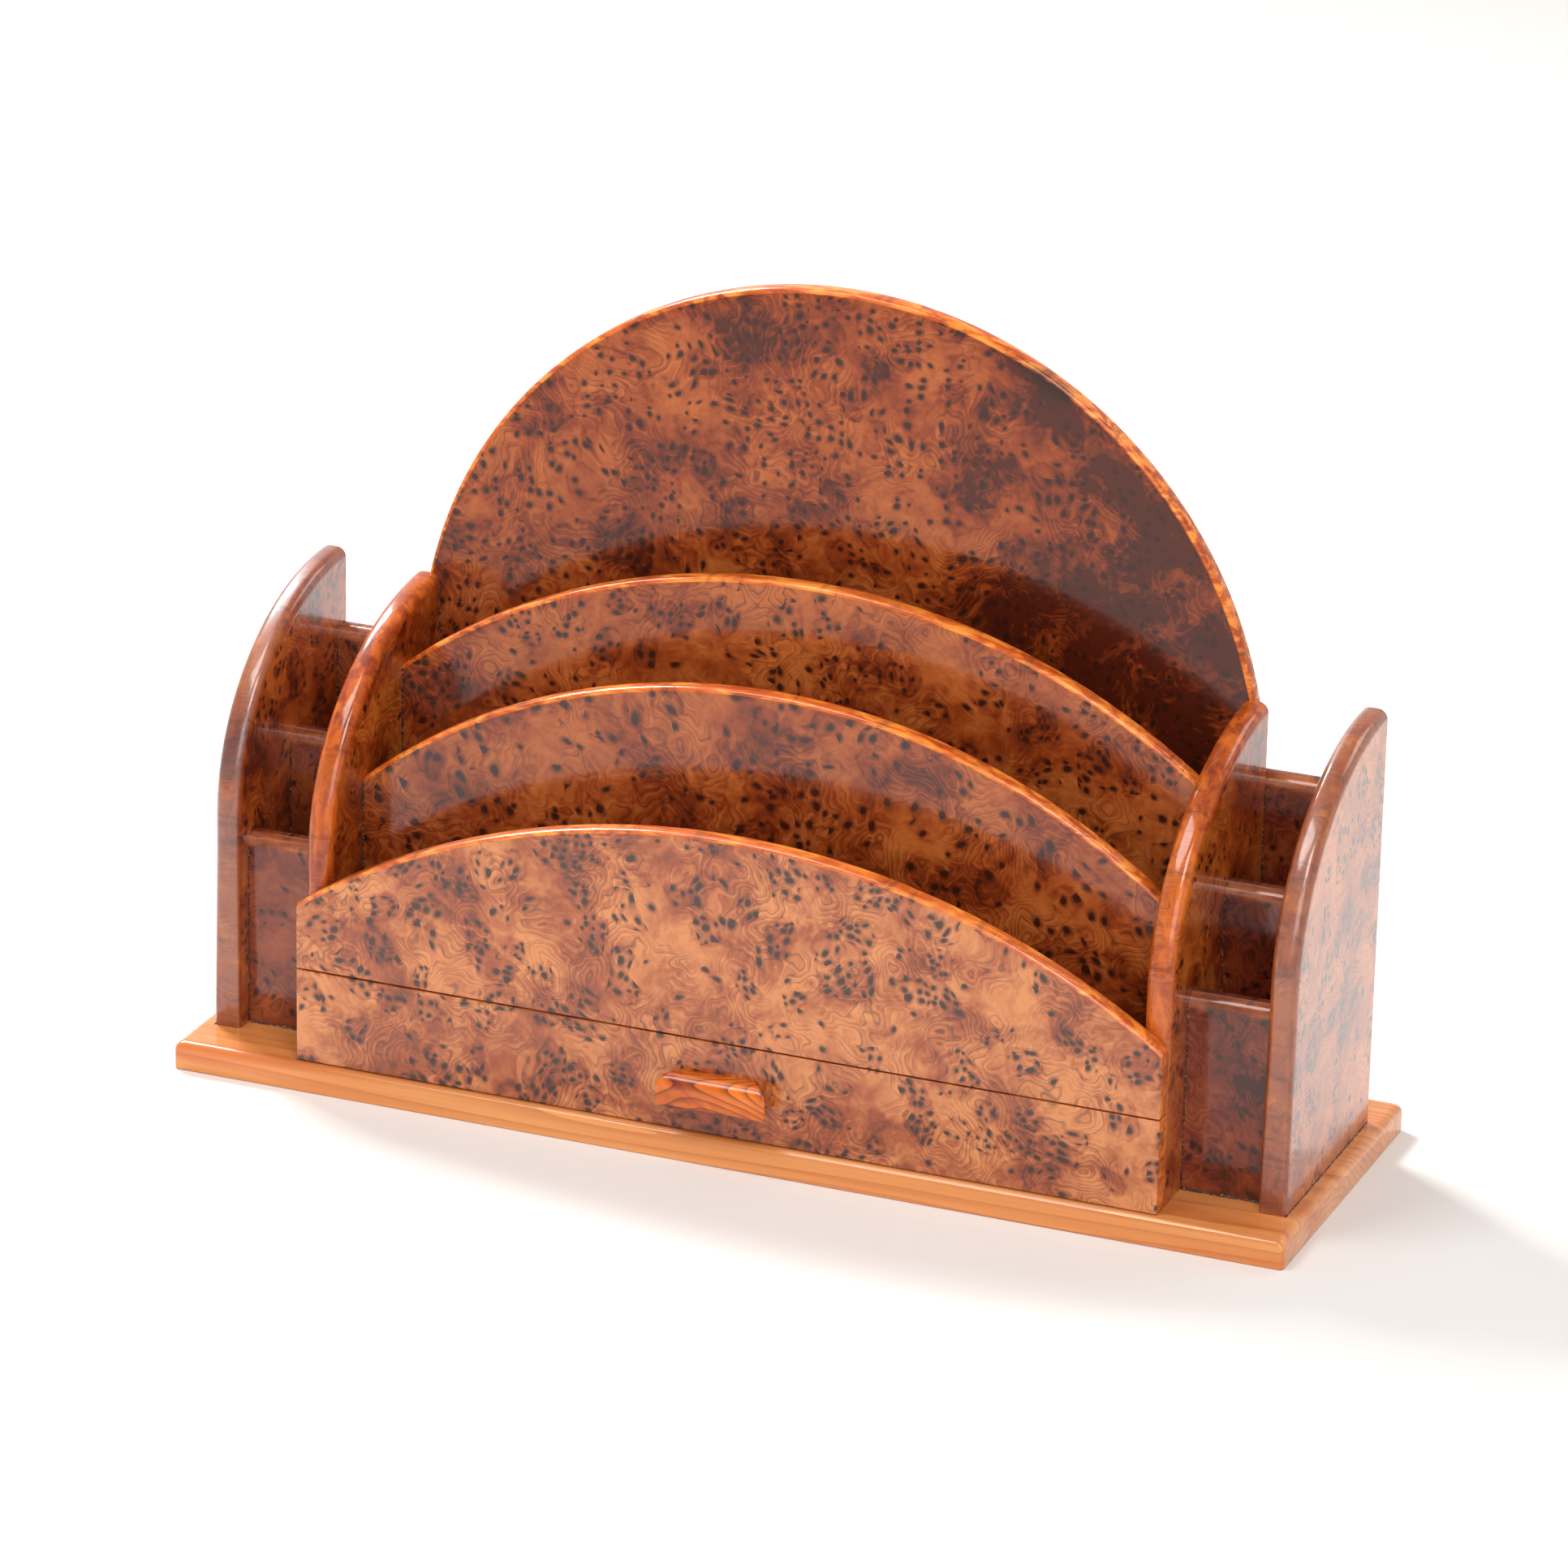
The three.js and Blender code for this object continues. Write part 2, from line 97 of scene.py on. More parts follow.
class Nodes:
    """A node tree, with one short way to add a node."""

    def __init__(self, tree: bpy.types.NodeTree) -> None:
        """Keeps the tree that nodes are added to."""
        self.tree = tree

    def add(self, kind: str, settings: Optional[dict[str, Any]] = None,
            **inputs: Any) -> bpy.types.Node:
        """Adds a node, sets its properties and fills its inputs.

        Args:
            kind: The node's type name.
            settings: Properties of the node itself, by name.
            **inputs: Socket names with spaces as underscores, or i0, i1 and so on for
                a socket's number. A value is set, and an output socket is linked.

        Returns:
            The new node.
        """
        node = self.tree.nodes.new(kind)
        for key, value in (settings or {}).items():
            setattr(node, key, value)
        for key, value in inputs.items():
            numbered = key[0] == "i" and key[1:].isdigit()
            socket = node.inputs[int(key[1:]) if numbered else key.replace("_", " ")]
            if isinstance(value, Socket):
                self.tree.links.new(value, socket)
            else:
                socket.default_value = value
        return node

    def math(self, operation: str, *values: Any) -> Socket:
        """Adds a Math node over numbers or sockets and gives its result."""
        inputs = {f"i{i}": value for i, value in enumerate(values)}
        return self.add("ShaderNodeMath", {"operation": operation}, **inputs).outputs[0]

    def vector(self, operation: str, *values: Any, output: int = 0) -> Socket:
        """Adds a Vector Math node and gives a result: 0 the vector, 1 the number."""
        inputs = {f"i{i}": value for i, value in enumerate(values)}
        return self.add("ShaderNodeVectorMath", {"operation": operation},
                        **inputs).outputs[output]

    def noise(self, place: Any, size_mm: float, detail: float = 2.0,
              **inputs: Any) -> Socket:
        """Adds a Noise Texture with spots of a size and gives its value, 0 to 1."""
        return self.add("ShaderNodeTexNoise", Vector=place, Scale=1.0 / size_mm,
                        Detail=detail, **inputs).outputs[0]

    def cells(self, place: Socket, size_mm: float,
              **inputs: Any) -> tuple[Socket, Sequence[Socket]]:
        """Adds flat Voronoi cells: distance from the middle, and each cell's lots."""
        cells = self.add("ShaderNodeTexVoronoi", {"voronoi_dimensions": "2D"},
                         Vector=place, Scale=1.0 / size_mm, **inputs).outputs
        return cells[0], self.add("ShaderNodeSeparateColor", Color=cells[1]).outputs

    def blend(self, factor: Any, first: Any, second: Any) -> Socket:
        """Mixes two colours by a factor and gives the result."""
        return self.add("ShaderNodeMix", {"data_type": "RGBA"}, i0=factor, i6=first,
                        i7=second).outputs[2]

    def remap(self, value: Any, low: float, high: float, to_low: float = 0.0,
              to_high: float = 1.0) -> Socket:
        """Maps a value smoothly from one range to another, clamped."""
        return self.add("ShaderNodeMapRange", {"interpolation_type": "SMOOTHSTEP"},
                        i0=value, i1=low, i2=high, i3=to_low, i4=to_high).outputs[0]


class Shader(Nodes):
    """A material with an empty node tree and an output node."""

    def __init__(self, name: str) -> None:
        """Starts the material."""
        self.material = bpy.data.materials.new(name)
        self.material.use_nodes = True
        super().__init__(self.material.node_tree)
        self.tree.nodes.clear()
        self.output = self.add("ShaderNodeOutputMaterial")

    def millimetres(self, scale: Sequence[float] = (1.0, 1.0, 1.0),
                    move: Sequence[float] = (0.0, 0.0, 0.0),
                    turn_deg: Sequence[float] = (0.0, 0.0, 0.0),
                    source: Optional[Socket] = None) -> Socket:
        """Position in millimetres, scaled, then turned, then moved.

        Args:
            scale: Scale along each axis. Under 1 draws a pattern out.
            move: Added to the position, in millimetres.
            turn_deg: Turn about each axis, in degrees.
            source: Position in metres, if it isn't the plain object coordinates.

        Returns:
            The position.
        """
        if source is None:
            source = self.add("ShaderNodeTexCoord").outputs["Object"]
        return self.add("ShaderNodeMapping", Vector=source, Location=tuple(move),
                        Rotation=tuple(math.radians(value) for value in turn_deg),
                        Scale=tuple(value / MM for value in scale)).outputs[0]

    def surface(self, **inputs: Any) -> Material:
        """Adds the surface, joins it to the output and gives the material."""
        surface = self.add("ShaderNodeBsdfPrincipled", **inputs)
        self.tree.links.new(surface.outputs[0], self.output.inputs[0])
        return self.material


# ---- finishes


class Plane(Enum):
    """The plane that a board's wide faces lie in."""

    FRONT = "front"
    SIDE = "side"


@dataclass(frozen=True)
class VarnishedWood:
    """Clear varnish over wood, brushed on and polished by hand.

    The varnish is a smooth coat, so it gives the eye sharp pale reflections. They
    waver a little, because it ripples by some 10 microns with the wood below it.
    """

    name: str
    wood_roughness: float = 0.42
    wood_sheen: float = 0.12
    coat_weight: float = 1.0
    coat_roughness: float = 0.11
    ripple_mm: float = 7.0
    ripple_height_mm: float = 0.012

    def finish(self, shader: Shader, colour: Socket, place: Socket,
               height: Optional[Socket] = None) -> Material:
        """Puts the varnish over a colour.

        Args:
            shader: The material's nodes.
            colour: Colour of the wood.
            place: Position in millimetres, for the varnish's ripple.
            height: Height of the wood's own relief, in millimetres, if it has any.

        Returns:
            The finished material.
        """
        ripple = shader.noise(place, self.ripple_mm, 1.0)
        relief = shader.math("MULTIPLY", ripple, self.ripple_height_mm)
        if height is not None:
            relief = shader.math("ADD", relief, height)
        bump = shader.add("ShaderNodeBump", Strength=1.0, Distance=MM, Height=relief)
        return shader.surface(
            Base_Color=colour, Roughness=self.wood_roughness, IOR=VARNISH_IOR,
            Specular_IOR_Level=self.wood_sheen, Coat_Weight=self.coat_weight,
            Coat_Roughness=self.coat_roughness, Coat_IOR=VARNISH_IOR,
            Normal=bump.outputs[0], Coat_Normal=bump.outputs[0])


@dataclass(frozen=True)
class Knot:
    """A black bark pocket in a board, as an ellipse in the plane of its face."""

    middle_mm: tuple[float, float]
    half_size_mm: tuple[float, float]
    turn_deg: float


@dataclass(frozen=True)
class ThuyaBurl(VarnishedWood):
    """Thuya burl, sawn across its bud eyes, sanded and varnished.

    The eyes are dark round buds 1 to 3 mm wide, in clusters with a dark stain round
    them. Fine growth lines wind round the eyes like the contours of a map, drawn about
    1.7 mm apart, a little wider than the real ones, so that they show. Rounded edges
    cut into brighter wood with fewer eyes.
    """

    plane: Plane = Plane.FRONT
    offset_mm: tuple[float, float, float] = (0.0, 0.0, 0.0)
    eye_spacing_mm: float = 3.1
    eye_radius_mm: tuple[float, float] = (0.62, 1.25)
    group_mm: float = 13.0
    grouped: float = 0.82
    scattered: float = 0.06
    groups_left_out: float = 0.24
    contours: float = 26.0
    eye_depth_mm: float = 0.015
    # Shifts the whole board's tone; on the pen walls, set by side, it is painted shade
    # and painted light.
    depth_of_tone: float = 0.0
    dark_side_mm: Optional[tuple[float, float]] = None
    knot: Optional[Knot] = None
    dark: str = "#4a1809"
    middle: str = "#883812"
    light: str = "#b4602a"
    stain: str = "#40140a"
    eye: str = "#34150b"
    edge: str = "#d85a10"
    edge_light: str = "#f89838"
    edge_share: float = 0.9

    def position(self, shader: Shader) -> tuple[Socket, Socket]:
        """Position on the board's face in millimetres.

        Args:
            shader: The material's nodes.

        Returns:
            The place moved by the offset, for this board's own figure, and the place
            from the middle of the organizer. The first two axes lie in the face. The
            third runs through the board, squeezed, so that the figure goes through.
        """
        axes = (0, 2, 1) if self.plane is Plane.FRONT else (1, 2, 0)
        split = shader.add(
            "ShaderNodeSeparateXYZ",
            Vector=shader.add("ShaderNodeTexCoord").outputs["Object"]).outputs
        turned = shader.add("ShaderNodeCombineXYZ", X=split[axes[0]], Y=split[axes[1]],
                            Z=split[axes[2]]).outputs[0]
        scale = (1.0, 1.0, 0.45)
        return (shader.millimetres(scale, self.offset_mm, source=turned),
                shader.millimetres(scale, source=turned))

    def warped(self, shader: Shader, place: Socket, size_mm: float, reach_mm: float,
               detail: float) -> Socket:
        """Moves each point by a soft noise, so straight patterns swirl.

        Args:
            shader: The material's nodes.
            place: Position in millimetres.
            size_mm: Width of one swirl.
            reach_mm: How far a point moves at most.
            detail: Octaves of the noise.

        Returns:
            The moved position, in millimetres.
        """
        noise = shader.add("ShaderNodeTexNoise", Vector=place, Scale=1.0 / size_mm,
                           Detail=detail).outputs[1]
        step = shader.add("ShaderNodeVectorMath", {"operation": "SCALE"},
                          i0=shader.vector("SUBTRACT", noise, (0.5, 0.5, 0.5)),
                          Scale=2.0 * reach_mm).outputs[0]
        return shader.vector("ADD", place, step)

    def knot_mask(self, shader: Shader, place: Socket) -> Socket:
        """1 inside the bark pocket, falling to 0 over a ragged outline."""
        middle, half = self.knot.middle_mm, self.knot.half_size_mm
        ragged = self.warped(shader, place, 7.0, 3.2, 3.0)
        moved = shader.add("ShaderNodeMapping", {"vector_type": "TEXTURE"},
                           Vector=ragged, Location=(middle[0], middle[1], 0.0),
                           Rotation=(0.0, 0.0, math.radians(self.knot.turn_deg)),
                           Scale=(half[0], half[1], 30.0)).outputs[0]
        return shader.remap(shader.vector("LENGTH", moved, output=1), 1.15, 0.55)

    def groups(self, shader: Shader, swirled: Socket,
               frayed: Socket) -> tuple[Socket, Socket]:
        """Uneven patches in which eyes crowd: 1 inside them, and 1 on their rims."""
        distance, lot = shader.cells(swirled, self.group_mm)
        reach = shader.math("MULTIPLY_ADD", shader.noise(frayed, 6.0), 0.5, distance)
        limit = shader.math("MULTIPLY_ADD", lot[1], 0.22, 0.52)
        inside = shader.math("SUBTRACT", limit, reach)
        chosen = shader.math("GREATER_THAN", lot[0], self.groups_left_out)
        rim = shader.remap(shader.math("ABSOLUTE", inside), 0.085, 0.0)
        return (shader.math("MULTIPLY", chosen, shader.remap(inside, -0.03, 0.07)),
                shader.math("MULTIPLY", chosen, rim))

    def eyes(self, shader: Shader, frayed: Socket,
             group: Socket) -> tuple[Socket, Socket]:
        """Eyes of many sizes, mostly in groups, and the stain round each of them."""
        distance, lot = shader.cells(frayed, self.eye_spacing_mm, Randomness=0.82)
        crowd = shader.math("MAXIMUM", shader.math("MULTIPLY", group, self.grouped),
                            self.scattered)
        present = shader.math("LESS_THAN", lot[0], crowd)
        small, large = (value / self.eye_spacing_mm for value in self.eye_radius_mm)
        radius = shader.math("MULTIPLY_ADD", lot[1], large - small, small)
        share = shader.math("DIVIDE", distance, radius)
        return (shader.math("MULTIPLY", shader.remap(share, 1.1, 0.6), present),
                shader.math("MULTIPLY", shader.remap(share, 2.1, 0.8), present))

    def tone(self, shader: Shader, places: Sequence[Socket], marks: Sequence[Socket],
             turns: Socket, strength: Socket) -> Socket:
        """How light the wood is, from patches, curls, growth bands and fine fibre.

        Args:
            shader: The material's nodes.
            places: The swirled, the frayed and the true position.
            marks: The groups of eyes and their rims.
            turns: Place between two growth lines, 0 to 1.
            strength: How strongly the growth bands show.

        Returns:
            0 for the darkest wood to 1 for the lightest.
        """
        swirled, frayed, true_place = places
        patches = shader.noise(swirled, 26.0, 4.0, Roughness=0.62)
        tone = shader.remap(patches, 0.28, 0.70, 0.22 - self.depth_of_tone,
                            0.98 - self.depth_of_tone)
        curl = shader.noise(swirled, 9.0, 3.0, Roughness=0.55, Distortion=1.8)
        tone = shader.math("MULTIPLY_ADD", shader.math("SUBTRACT", curl, 0.5), 0.85,
                           tone)
        band = shader.math("MULTIPLY_ADD", turns, 0.30, -0.15)
        tone = shader.math("MULTIPLY_ADD", band, strength, tone)
        fine = shader.noise(frayed, 1.6, 3.0)
        tone = shader.math("MULTIPLY_ADD", fine, 0.30, shader.math(
            "SUBTRACT", tone, 0.15))
        for mark, darker in zip(marks, (-0.12, -0.20)):
            tone = shader.math("MULTIPLY_ADD", mark, darker, tone)
        if self.dark_side_mm is not None:
            across = shader.add("ShaderNodeSeparateXYZ", Vector=true_place).outputs[0]
            side = shader.remap(across, *self.dark_side_mm, 0.0, -0.42)
            tone = shader.math("ADD", tone, side)
        return tone

    def edge_wood(self, shader: Shader, on_edge: Socket, face: Socket) -> Socket:
        """Brighter flamed wood, drawn out along the board, where an edge is rounded."""
        run = (0.22, 1.0, 1.0) if self.plane is Plane.FRONT else (1.0, 0.6, 0.22)
        flame = shader.noise(shader.millimetres(run, self.offset_mm), 3.4, 4.0,
                             Roughness=0.6, Distortion=0.6)
        bright = shader.math("MULTIPLY", on_edge, shader.remap(
            flame, 0.34, 0.60, self.edge_share * 0.45, self.edge_share))
        edge = shader.blend(shader.remap(flame, 0.40, 0.68), linear(self.edge),
                            linear(self.edge_light))
        return shader.blend(bright, face, edge)

    def material(self) -> Material:
        """Builds the burl's pattern and puts the varnish over it."""
        shader = Shader(self.name)
        place, true_place = self.position(shader)
        swirled = self.warped(shader, place, 30.0, 8.0, 3.0)
        frayed = self.warped(shader, swirled, 2.6, 0.4, 1.0)
        group, rim = self.groups(shader, swirled, frayed)
        eye, halo = self.eyes(shader, frayed, group)

        # Growth lines: contours of a hilly height that rises at each eye.
        hills = shader.noise(swirled, 24.0, 2.6, Roughness=0.42)
        height = shader.math("MULTIPLY_ADD", halo, 0.02, hills)
        turns = shader.math("FRACT", shader.math("MULTIPLY", height, self.contours))
        line = shader.remap(shader.math("ABSOLUTE", shader.math(
            "SUBTRACT", turns, 0.5)), 0.16, 0.0)
        strength = shader.remap(shader.noise(place, 17.0, 1.0), 0.35, 0.6, 0.10, 1.0)

        ramp = shader.add("ShaderNodeValToRGB", i0=self.tone(
            shader, (swirled, frayed, true_place), (group, rim), turns, strength))
        ramp.color_ramp.elements[0].color = linear(self.dark)
        ramp.color_ramp.elements[1].color = linear(self.light)
        ramp.color_ramp.elements.new(0.42).color = linear(self.middle)
        drawn = shader.math("MULTIPLY", line, shader.math("MULTIPLY", strength, 0.60))
        lined = shader.blend(drawn, ramp.outputs[0], linear(self.stain))

        # Eyes are fainter on edges, where they would run along the cut as stripes.
        on_edge = shader.add("ShaderNodeAttribute",
                             {"attribute_name": "edge"}).outputs["Fac"]
        thin = shader.math("MULTIPLY_ADD", on_edge, -0.75, 1.0)
        stained = shader.blend(
            shader.math("MULTIPLY", halo, shader.math("MULTIPLY", thin, 0.60)),
            self.edge_wood(shader, on_edge, lined), linear(self.stain))
        colour = shader.blend(shader.math("MULTIPLY", eye, thin), stained,
                              linear(self.eye))
        if self.knot is not None:
            colour = shader.blend(self.knot_mask(shader, true_place), colour,
                                  linear(self.eye))
        dip = shader.math("MULTIPLY", eye, -self.eye_depth_mm)
        return self.finish(shader, colour, place, dip)


@dataclass(frozen=True)
class StraightThuya(VarnishedWood):
    """Plain thuya trunk wood, sawn along the grain, sanded and varnished.

    Growth rings run along the board's length: fine lines on its faces and arcs on its
    ends, with a slow wave where the trunk was not quite straight.
    """

    light: str = "#e49c5a"
    middle: str = "#d07c3c"
    dark: str = "#a4521e"
    flush: str = "#c8622a"
    ring_mm: float = 2.6
    wave_mm: float = 15.0
    heart_mm: tuple[float, float, float] = (0.0, -22.0, -46.0)
    turn_deg: tuple[float, float, float] = (0.0, 0.0, 0.0)
    streaks: float = 0.5

    def material(self) -> Material:
        """Builds the rings and the varnish over them."""
        shader = Shader(self.name)
        place = shader.millimetres(move=[-value for value in self.heart_mm],
                                   turn_deg=self.turn_deg)
        # Patterns are drawn out along the grain. Rings are distance from the heart.
        long = shader.vector("MULTIPLY", place, (0.06, 1.0, 1.0))
        across = shader.vector("MULTIPLY", place, (0.0, 1.0, 1.0))
        radius = shader.math("MULTIPLY_ADD", shader.noise(long, 22.0), self.wave_mm,
                             shader.vector("LENGTH", across, output=1))
        ring = shader.math("FRACT", shader.math("DIVIDE", radius, self.ring_mm))
        # Each ring darkens slowly towards its late wood, then starts pale again.
        late_wood = shader.math("POWER", ring, 3.0)
        fibre = shader.noise(long, 1.1, 3.0, Roughness=0.6)
        patches = shader.remap(shader.noise(long, 14.0), 0.3, 0.7)
        tone = shader.math("MULTIPLY_ADD", fibre, 0.5, patches)
        body = shader.blend(shader.math("MULTIPLY", tone, 0.7), linear(self.middle),
                            linear(self.light))
        blush = shader.noise(long, 9.0, 3.0, Distortion=0.8)
        body = shader.blend(shader.remap(blush, 0.46, 0.72, 0.0, 0.7), body,
                            linear(self.flush))
        colour = shader.blend(shader.math("MULTIPLY", late_wood, self.streaks), body,
                              linear(self.dark))
        return self.finish(shader, colour, place)


@dataclass(frozen=True)
class BareWood:
    """Plain light wood inside the drawer: planed and sanded, with no varnish."""

    name: str = "bare_wood"
    light: str = "#d9a878"
    dark: str = "#b37e4e"
    grain_mm: float = 1.4

    def material(self) -> Material:
        """Builds a matt wood with a fine grain along X."""
        shader = Shader(self.name)
        place = shader.millimetres(scale=(0.05, 1.0, 1.0))
        grain = shader.noise(place, self.grain_mm, 4.0, Roughness=0.6)
        colour = shader.blend(shader.remap(grain, 0.3, 0.7), linear(self.dark),
                              linear(self.light))
        return shader.surface(Base_Color=colour, Roughness=0.68)


@dataclass(frozen=True)
class ZincSteel:
    """Zinc-plated steel screw: dull bluish metal from the plating bath."""

    name: str = "zinc_plated_steel"
    colour: str = "#b9bcc0"

    def material(self) -> Material:
        """Builds the plated metal."""
        return Shader(self.name).surface(Base_Color=linear(self.colour), Metallic=1.0,
                                         Roughness=0.34)


@dataclass(frozen=True)
class GlueLine:
    """Dark glue and sanding dust in a joint; beside the back panel it is also painted
    shadow.
    """

    name: str = "glue_and_dust"
    # This dark colour is also the painted shadow in the gap beside the back panel.
    glue: str = "#2a0f07"
    dust: str = "#a8683f"
    speck_mm: float = 0.9

    def material(self) -> Material:
        """Builds a speckled mix of dark glue and pale dust."""
        shader = Shader(self.name)
        speck = shader.noise(shader.millimetres(), self.speck_mm, 3.0, Roughness=0.7)
        colour = shader.blend(shader.remap(speck, 0.5, 0.66), linear(self.glue),
                              linear(self.dust))
        return shader.surface(Base_Color=colour, Roughness=0.6)


# ---- mesh building


@dataclass
class Loops:
    """A closed surface: rings of points in order, joined by strips of faces.

    points has the shape rings by points by 3. edge is 1 where the surface is a
    rounded edge and 0 on the board's faces.
    """

    points: np.ndarray
    edge: Optional[np.ndarray] = None

    def mesh(self, name: str, sharp_deg: float = 32.0) -> Object:
        """Makes a mesh object with a flat cap over the first and the last ring.

        Args:
            name: Name of the piece.
            sharp_deg: Edges that turn by more than this stay sharp.

        Returns:
            The new object, linked into the scene.
        """
        rings, count, _ = self.points.shape
        index = np.arange(rings * count).reshape(rings, count)
        here, there = index[:-1], index[1:]
        quads = np.stack([here, np.roll(here, -1, 1), np.roll(there, -1, 1), there],
                         -1).reshape(-1, 4)
        first, last = index[0][::-1], index[-1]
        if self.volume(quads, first, last) < 0:
            quads, first, last = quads[:, ::-1], first[::-1], last[::-1]
        faces = quads.tolist() + [first.tolist(), last.tolist()]
        data = bpy.data.meshes.new(name)
        data.from_pydata(self.points.reshape(-1, 3).tolist(), [], faces)
        data.polygons.foreach_set("use_smooth", np.ones(len(faces), dtype=bool))
        data.set_sharp_from_angle(angle=math.radians(sharp_deg))
        edge = np.zeros(rings * count) if self.edge is None else self.edge.ravel()
        layer = data.attributes.new("edge", "FLOAT", "POINT")
        layer.data.foreach_set("value", edge.astype(np.float32))
        data.validate()
        data.update()
        piece = bpy.data.objects.new(name, data)
        bpy.context.scene.collection.objects.link(piece)
        return piece

    def volume(self, quads: np.ndarray, first: np.ndarray, last: np.ndarray) -> float:
        """Six times the volume inside: the sum of a . (b x c) over all triangles."""
        flat = self.points.reshape(-1, 3)
        fans = [np.stack([np.full(len(cap) - 2, cap[0]), cap[1:-1], cap[2:]], -1)
                for cap in (first, last)]
        triangles = np.concatenate([quads[:, [0, 1, 2]], quads[:, [0, 2, 3]], *fans])
        a, b, c = (flat[triangles[:, i]] for i in range(3))
        return float(np.einsum("ij,ij->", a, np.cross(b, c)))


def eased(count: int, tight: float = 0.02) -> np.ndarray:
    """Shares from 0 to 1, evenly spaced, with one more close to each end.

    The close ones keep the shading of a flat face flat right up to its rounded edge.
    """
    inner = np.linspace(0, 1, count)[1:-1]
    return np.concatenate([[0.0, tight], inner, [1 - tight, 1.0]])


@dataclass
class Rounding:
    """The two rounded long edges of a board, as steps from near face to far face."""

    near: float
    far: float
    steps: int = 7

    def profile(self, thickness: float) -> tuple[np.ndarray, np.ndarray]:
        """Depth across the board and inset of the outline, around both edges.

        A quarter circle from the near face to the top, and another down to the far
        face: depth = r (1 - cos a) and inset = r (1 - sin a).

        Args:
            thickness: The board's thickness.

        Returns:
            Depths from the near face, and insets from the full outline.
        """
        angle = np.linspace(0, math.pi / 2, self.steps)
        depth = np.concatenate([self.near * (1 - np.cos(angle)),
                                thickness - self.far * (1 - np.cos(angle[::-1]))])
        inset = np.concatenate([self.near * (1 - np.sin(angle)),
                                self.far * (1 - np.sin(angle[::-1]))])
        return depth, inset


def shrink_ends(points: np.ndarray, amount: float) -> np.ndarray:
    """Rounds the outline of both end caps with a quarter circle.

    Each end ring is replaced by rings that step out to the end: a ring stops short of
    the end by e (1 - sin a) and its outline is drawn in by e (1 - cos a), towards the
    middle of its box, as a goes from 0 to 90 degrees.

    Args:
        points: Rings by points by 3 along X, with flat first and last rings.
        amount: Radius e of the rounding.

    Returns:
        The rings with both ends rounded.
    """
    angle = np.linspace(0, math.pi / 2, END_STEPS + 1)[:, None, None]

    def end(ring: np.ndarray, inwards: float) -> np.ndarray:
        """Steps from a full ring just inside the end out to the drawn-in end ring."""
        out = np.repeat(ring[None], END_STEPS + 1, 0)
        low, high = ring[:, 1:].min(0), ring[:, 1:].max(0)
        middle, half = (low + high) / 2, (high - low) / 2
        draw = 1 - amount * (1 - np.cos(angle)) / half
        out[:, :, 1:] = middle + (out[:, :, 1:] - middle) * draw
        out[:, :, 0] += inwards * amount * (1 - np.sin(angle[:, :, 0]))
        return out

    return np.concatenate([end(points[0], 1.0)[::-1], points[1:-1],
                           end(points[-1], -1.0)])


def skirted(curve: np.ndarray, feet: np.ndarray, rows: int,
            tight: float = 0.02) -> Loops:
    """Carries a board's rounded edge down both of its faces to their feet.

    A face's points are foot + s (edge - foot), with s from 0 to 1.

    Args:
        curve: Rings by points by 3: the rounded edge, from near face to far face.
        feet: Rings by 2 by 3: the foot of each ring on the near and the far face.
        rows: Steps up each face.
        tight: How close the step next to each end is, as a share.

    Returns:
        The closed surface, marked as an edge between its faces.
    """
    share = eased(rows, tight)[:-1, None]
    up = feet[:, :1] + (curve[:, :1] - feet[:, :1]) * share
    down = feet[:, 1:] + (curve[:, -1:] - feet[:, 1:]) * share[::-1]
    points = np.concatenate([up, curve, down], 1)
    edge = np.zeros(points.shape[:2])
    edge[:, len(share) + 1:-len(share) - 1] = 1
    return Loops(points, edge)


def corners(node: str) -> tuple[np.ndarray, np.ndarray]:
    """Lowest and highest corner of a CAD node, in metres."""
    low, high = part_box(node)
    return np.array(low), np.array(high)


def dress(piece: Object, material: Material, slot: str, body: str,
          *nodes: str) -> Object:
    """Gives a new piece its material and its body, and hides the nodes it stands for.

    Args:
        piece: The new object.
        material: Its finish.
        slot: Not used.
        body: The CAD body that it moves with.
        *nodes: CAD nodes that it replaces.

    Returns:
        The same object.
    """
    piece.data.materials.clear()
    piece.data.materials.append(material)
    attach(piece, body)
    if nodes:
        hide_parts(*nodes)
    LOG.info("%s: %d faces on %s", piece.name, len(piece.data.polygons), body)
    return piece


# ---- the boards


@dataclass
class ArchBoard:
    """An upright board across the rack, with a circular arch for its top."""

    node: str
    radius: float
    rounding: Rounding
    end_round: float = 0.45 * MM
    stations: int = 90
    rows: int = 14

    def loops(self) -> Loops:
        """Rings along X, each going up the front, over the top and down the rear.

        At x the top is at centre + sqrt((radius - inset)^2 - x^2), where inset is what
        the rounding takes off the outline at that depth.
        """
        low, high = corners(self.node)
        centre = high[2] - self.radius
        depth, inset = self.rounding.profile(high[1] - low[1])
        half = (high[0] - low[0]) / 2
        x = np.linspace(-half, half, self.stations)[:, None]
        reach = self.radius - inset[None]
        top = centre + np.sqrt(reach ** 2 - x ** 2)
        curve = np.stack(np.broadcast_arrays(x, low[1] + depth[None], top), -1)
        board = skirted(curve, self.feet(curve, low), self.rows)
        if self.end_round:
            edge = board.edge
            edge = np.concatenate([np.repeat(edge[:1], END_STEPS, 0), edge,
                                   np.repeat(edge[-1:], END_STEPS, 0)])
            edge[[0, -1]] = 1.0
            board = Loops(shrink_ends(board.points, self.end_round), edge)
        return board

    def feet(self, curve: np.ndarray, low: np.ndarray) -> np.ndarray:
        """Points straight below both ends of each ring, at the board's foot."""
        feet = curve[:, [0, -1]]
        feet[:, :, 2] = low[2]
        return feet

    def build(self, material: Material) -> Object:
        """Builds the board and dresses it."""
        piece = self.loops().mesh(f"{self.node}_board")
        return dress(piece, material, "burl", RACK, self.node)


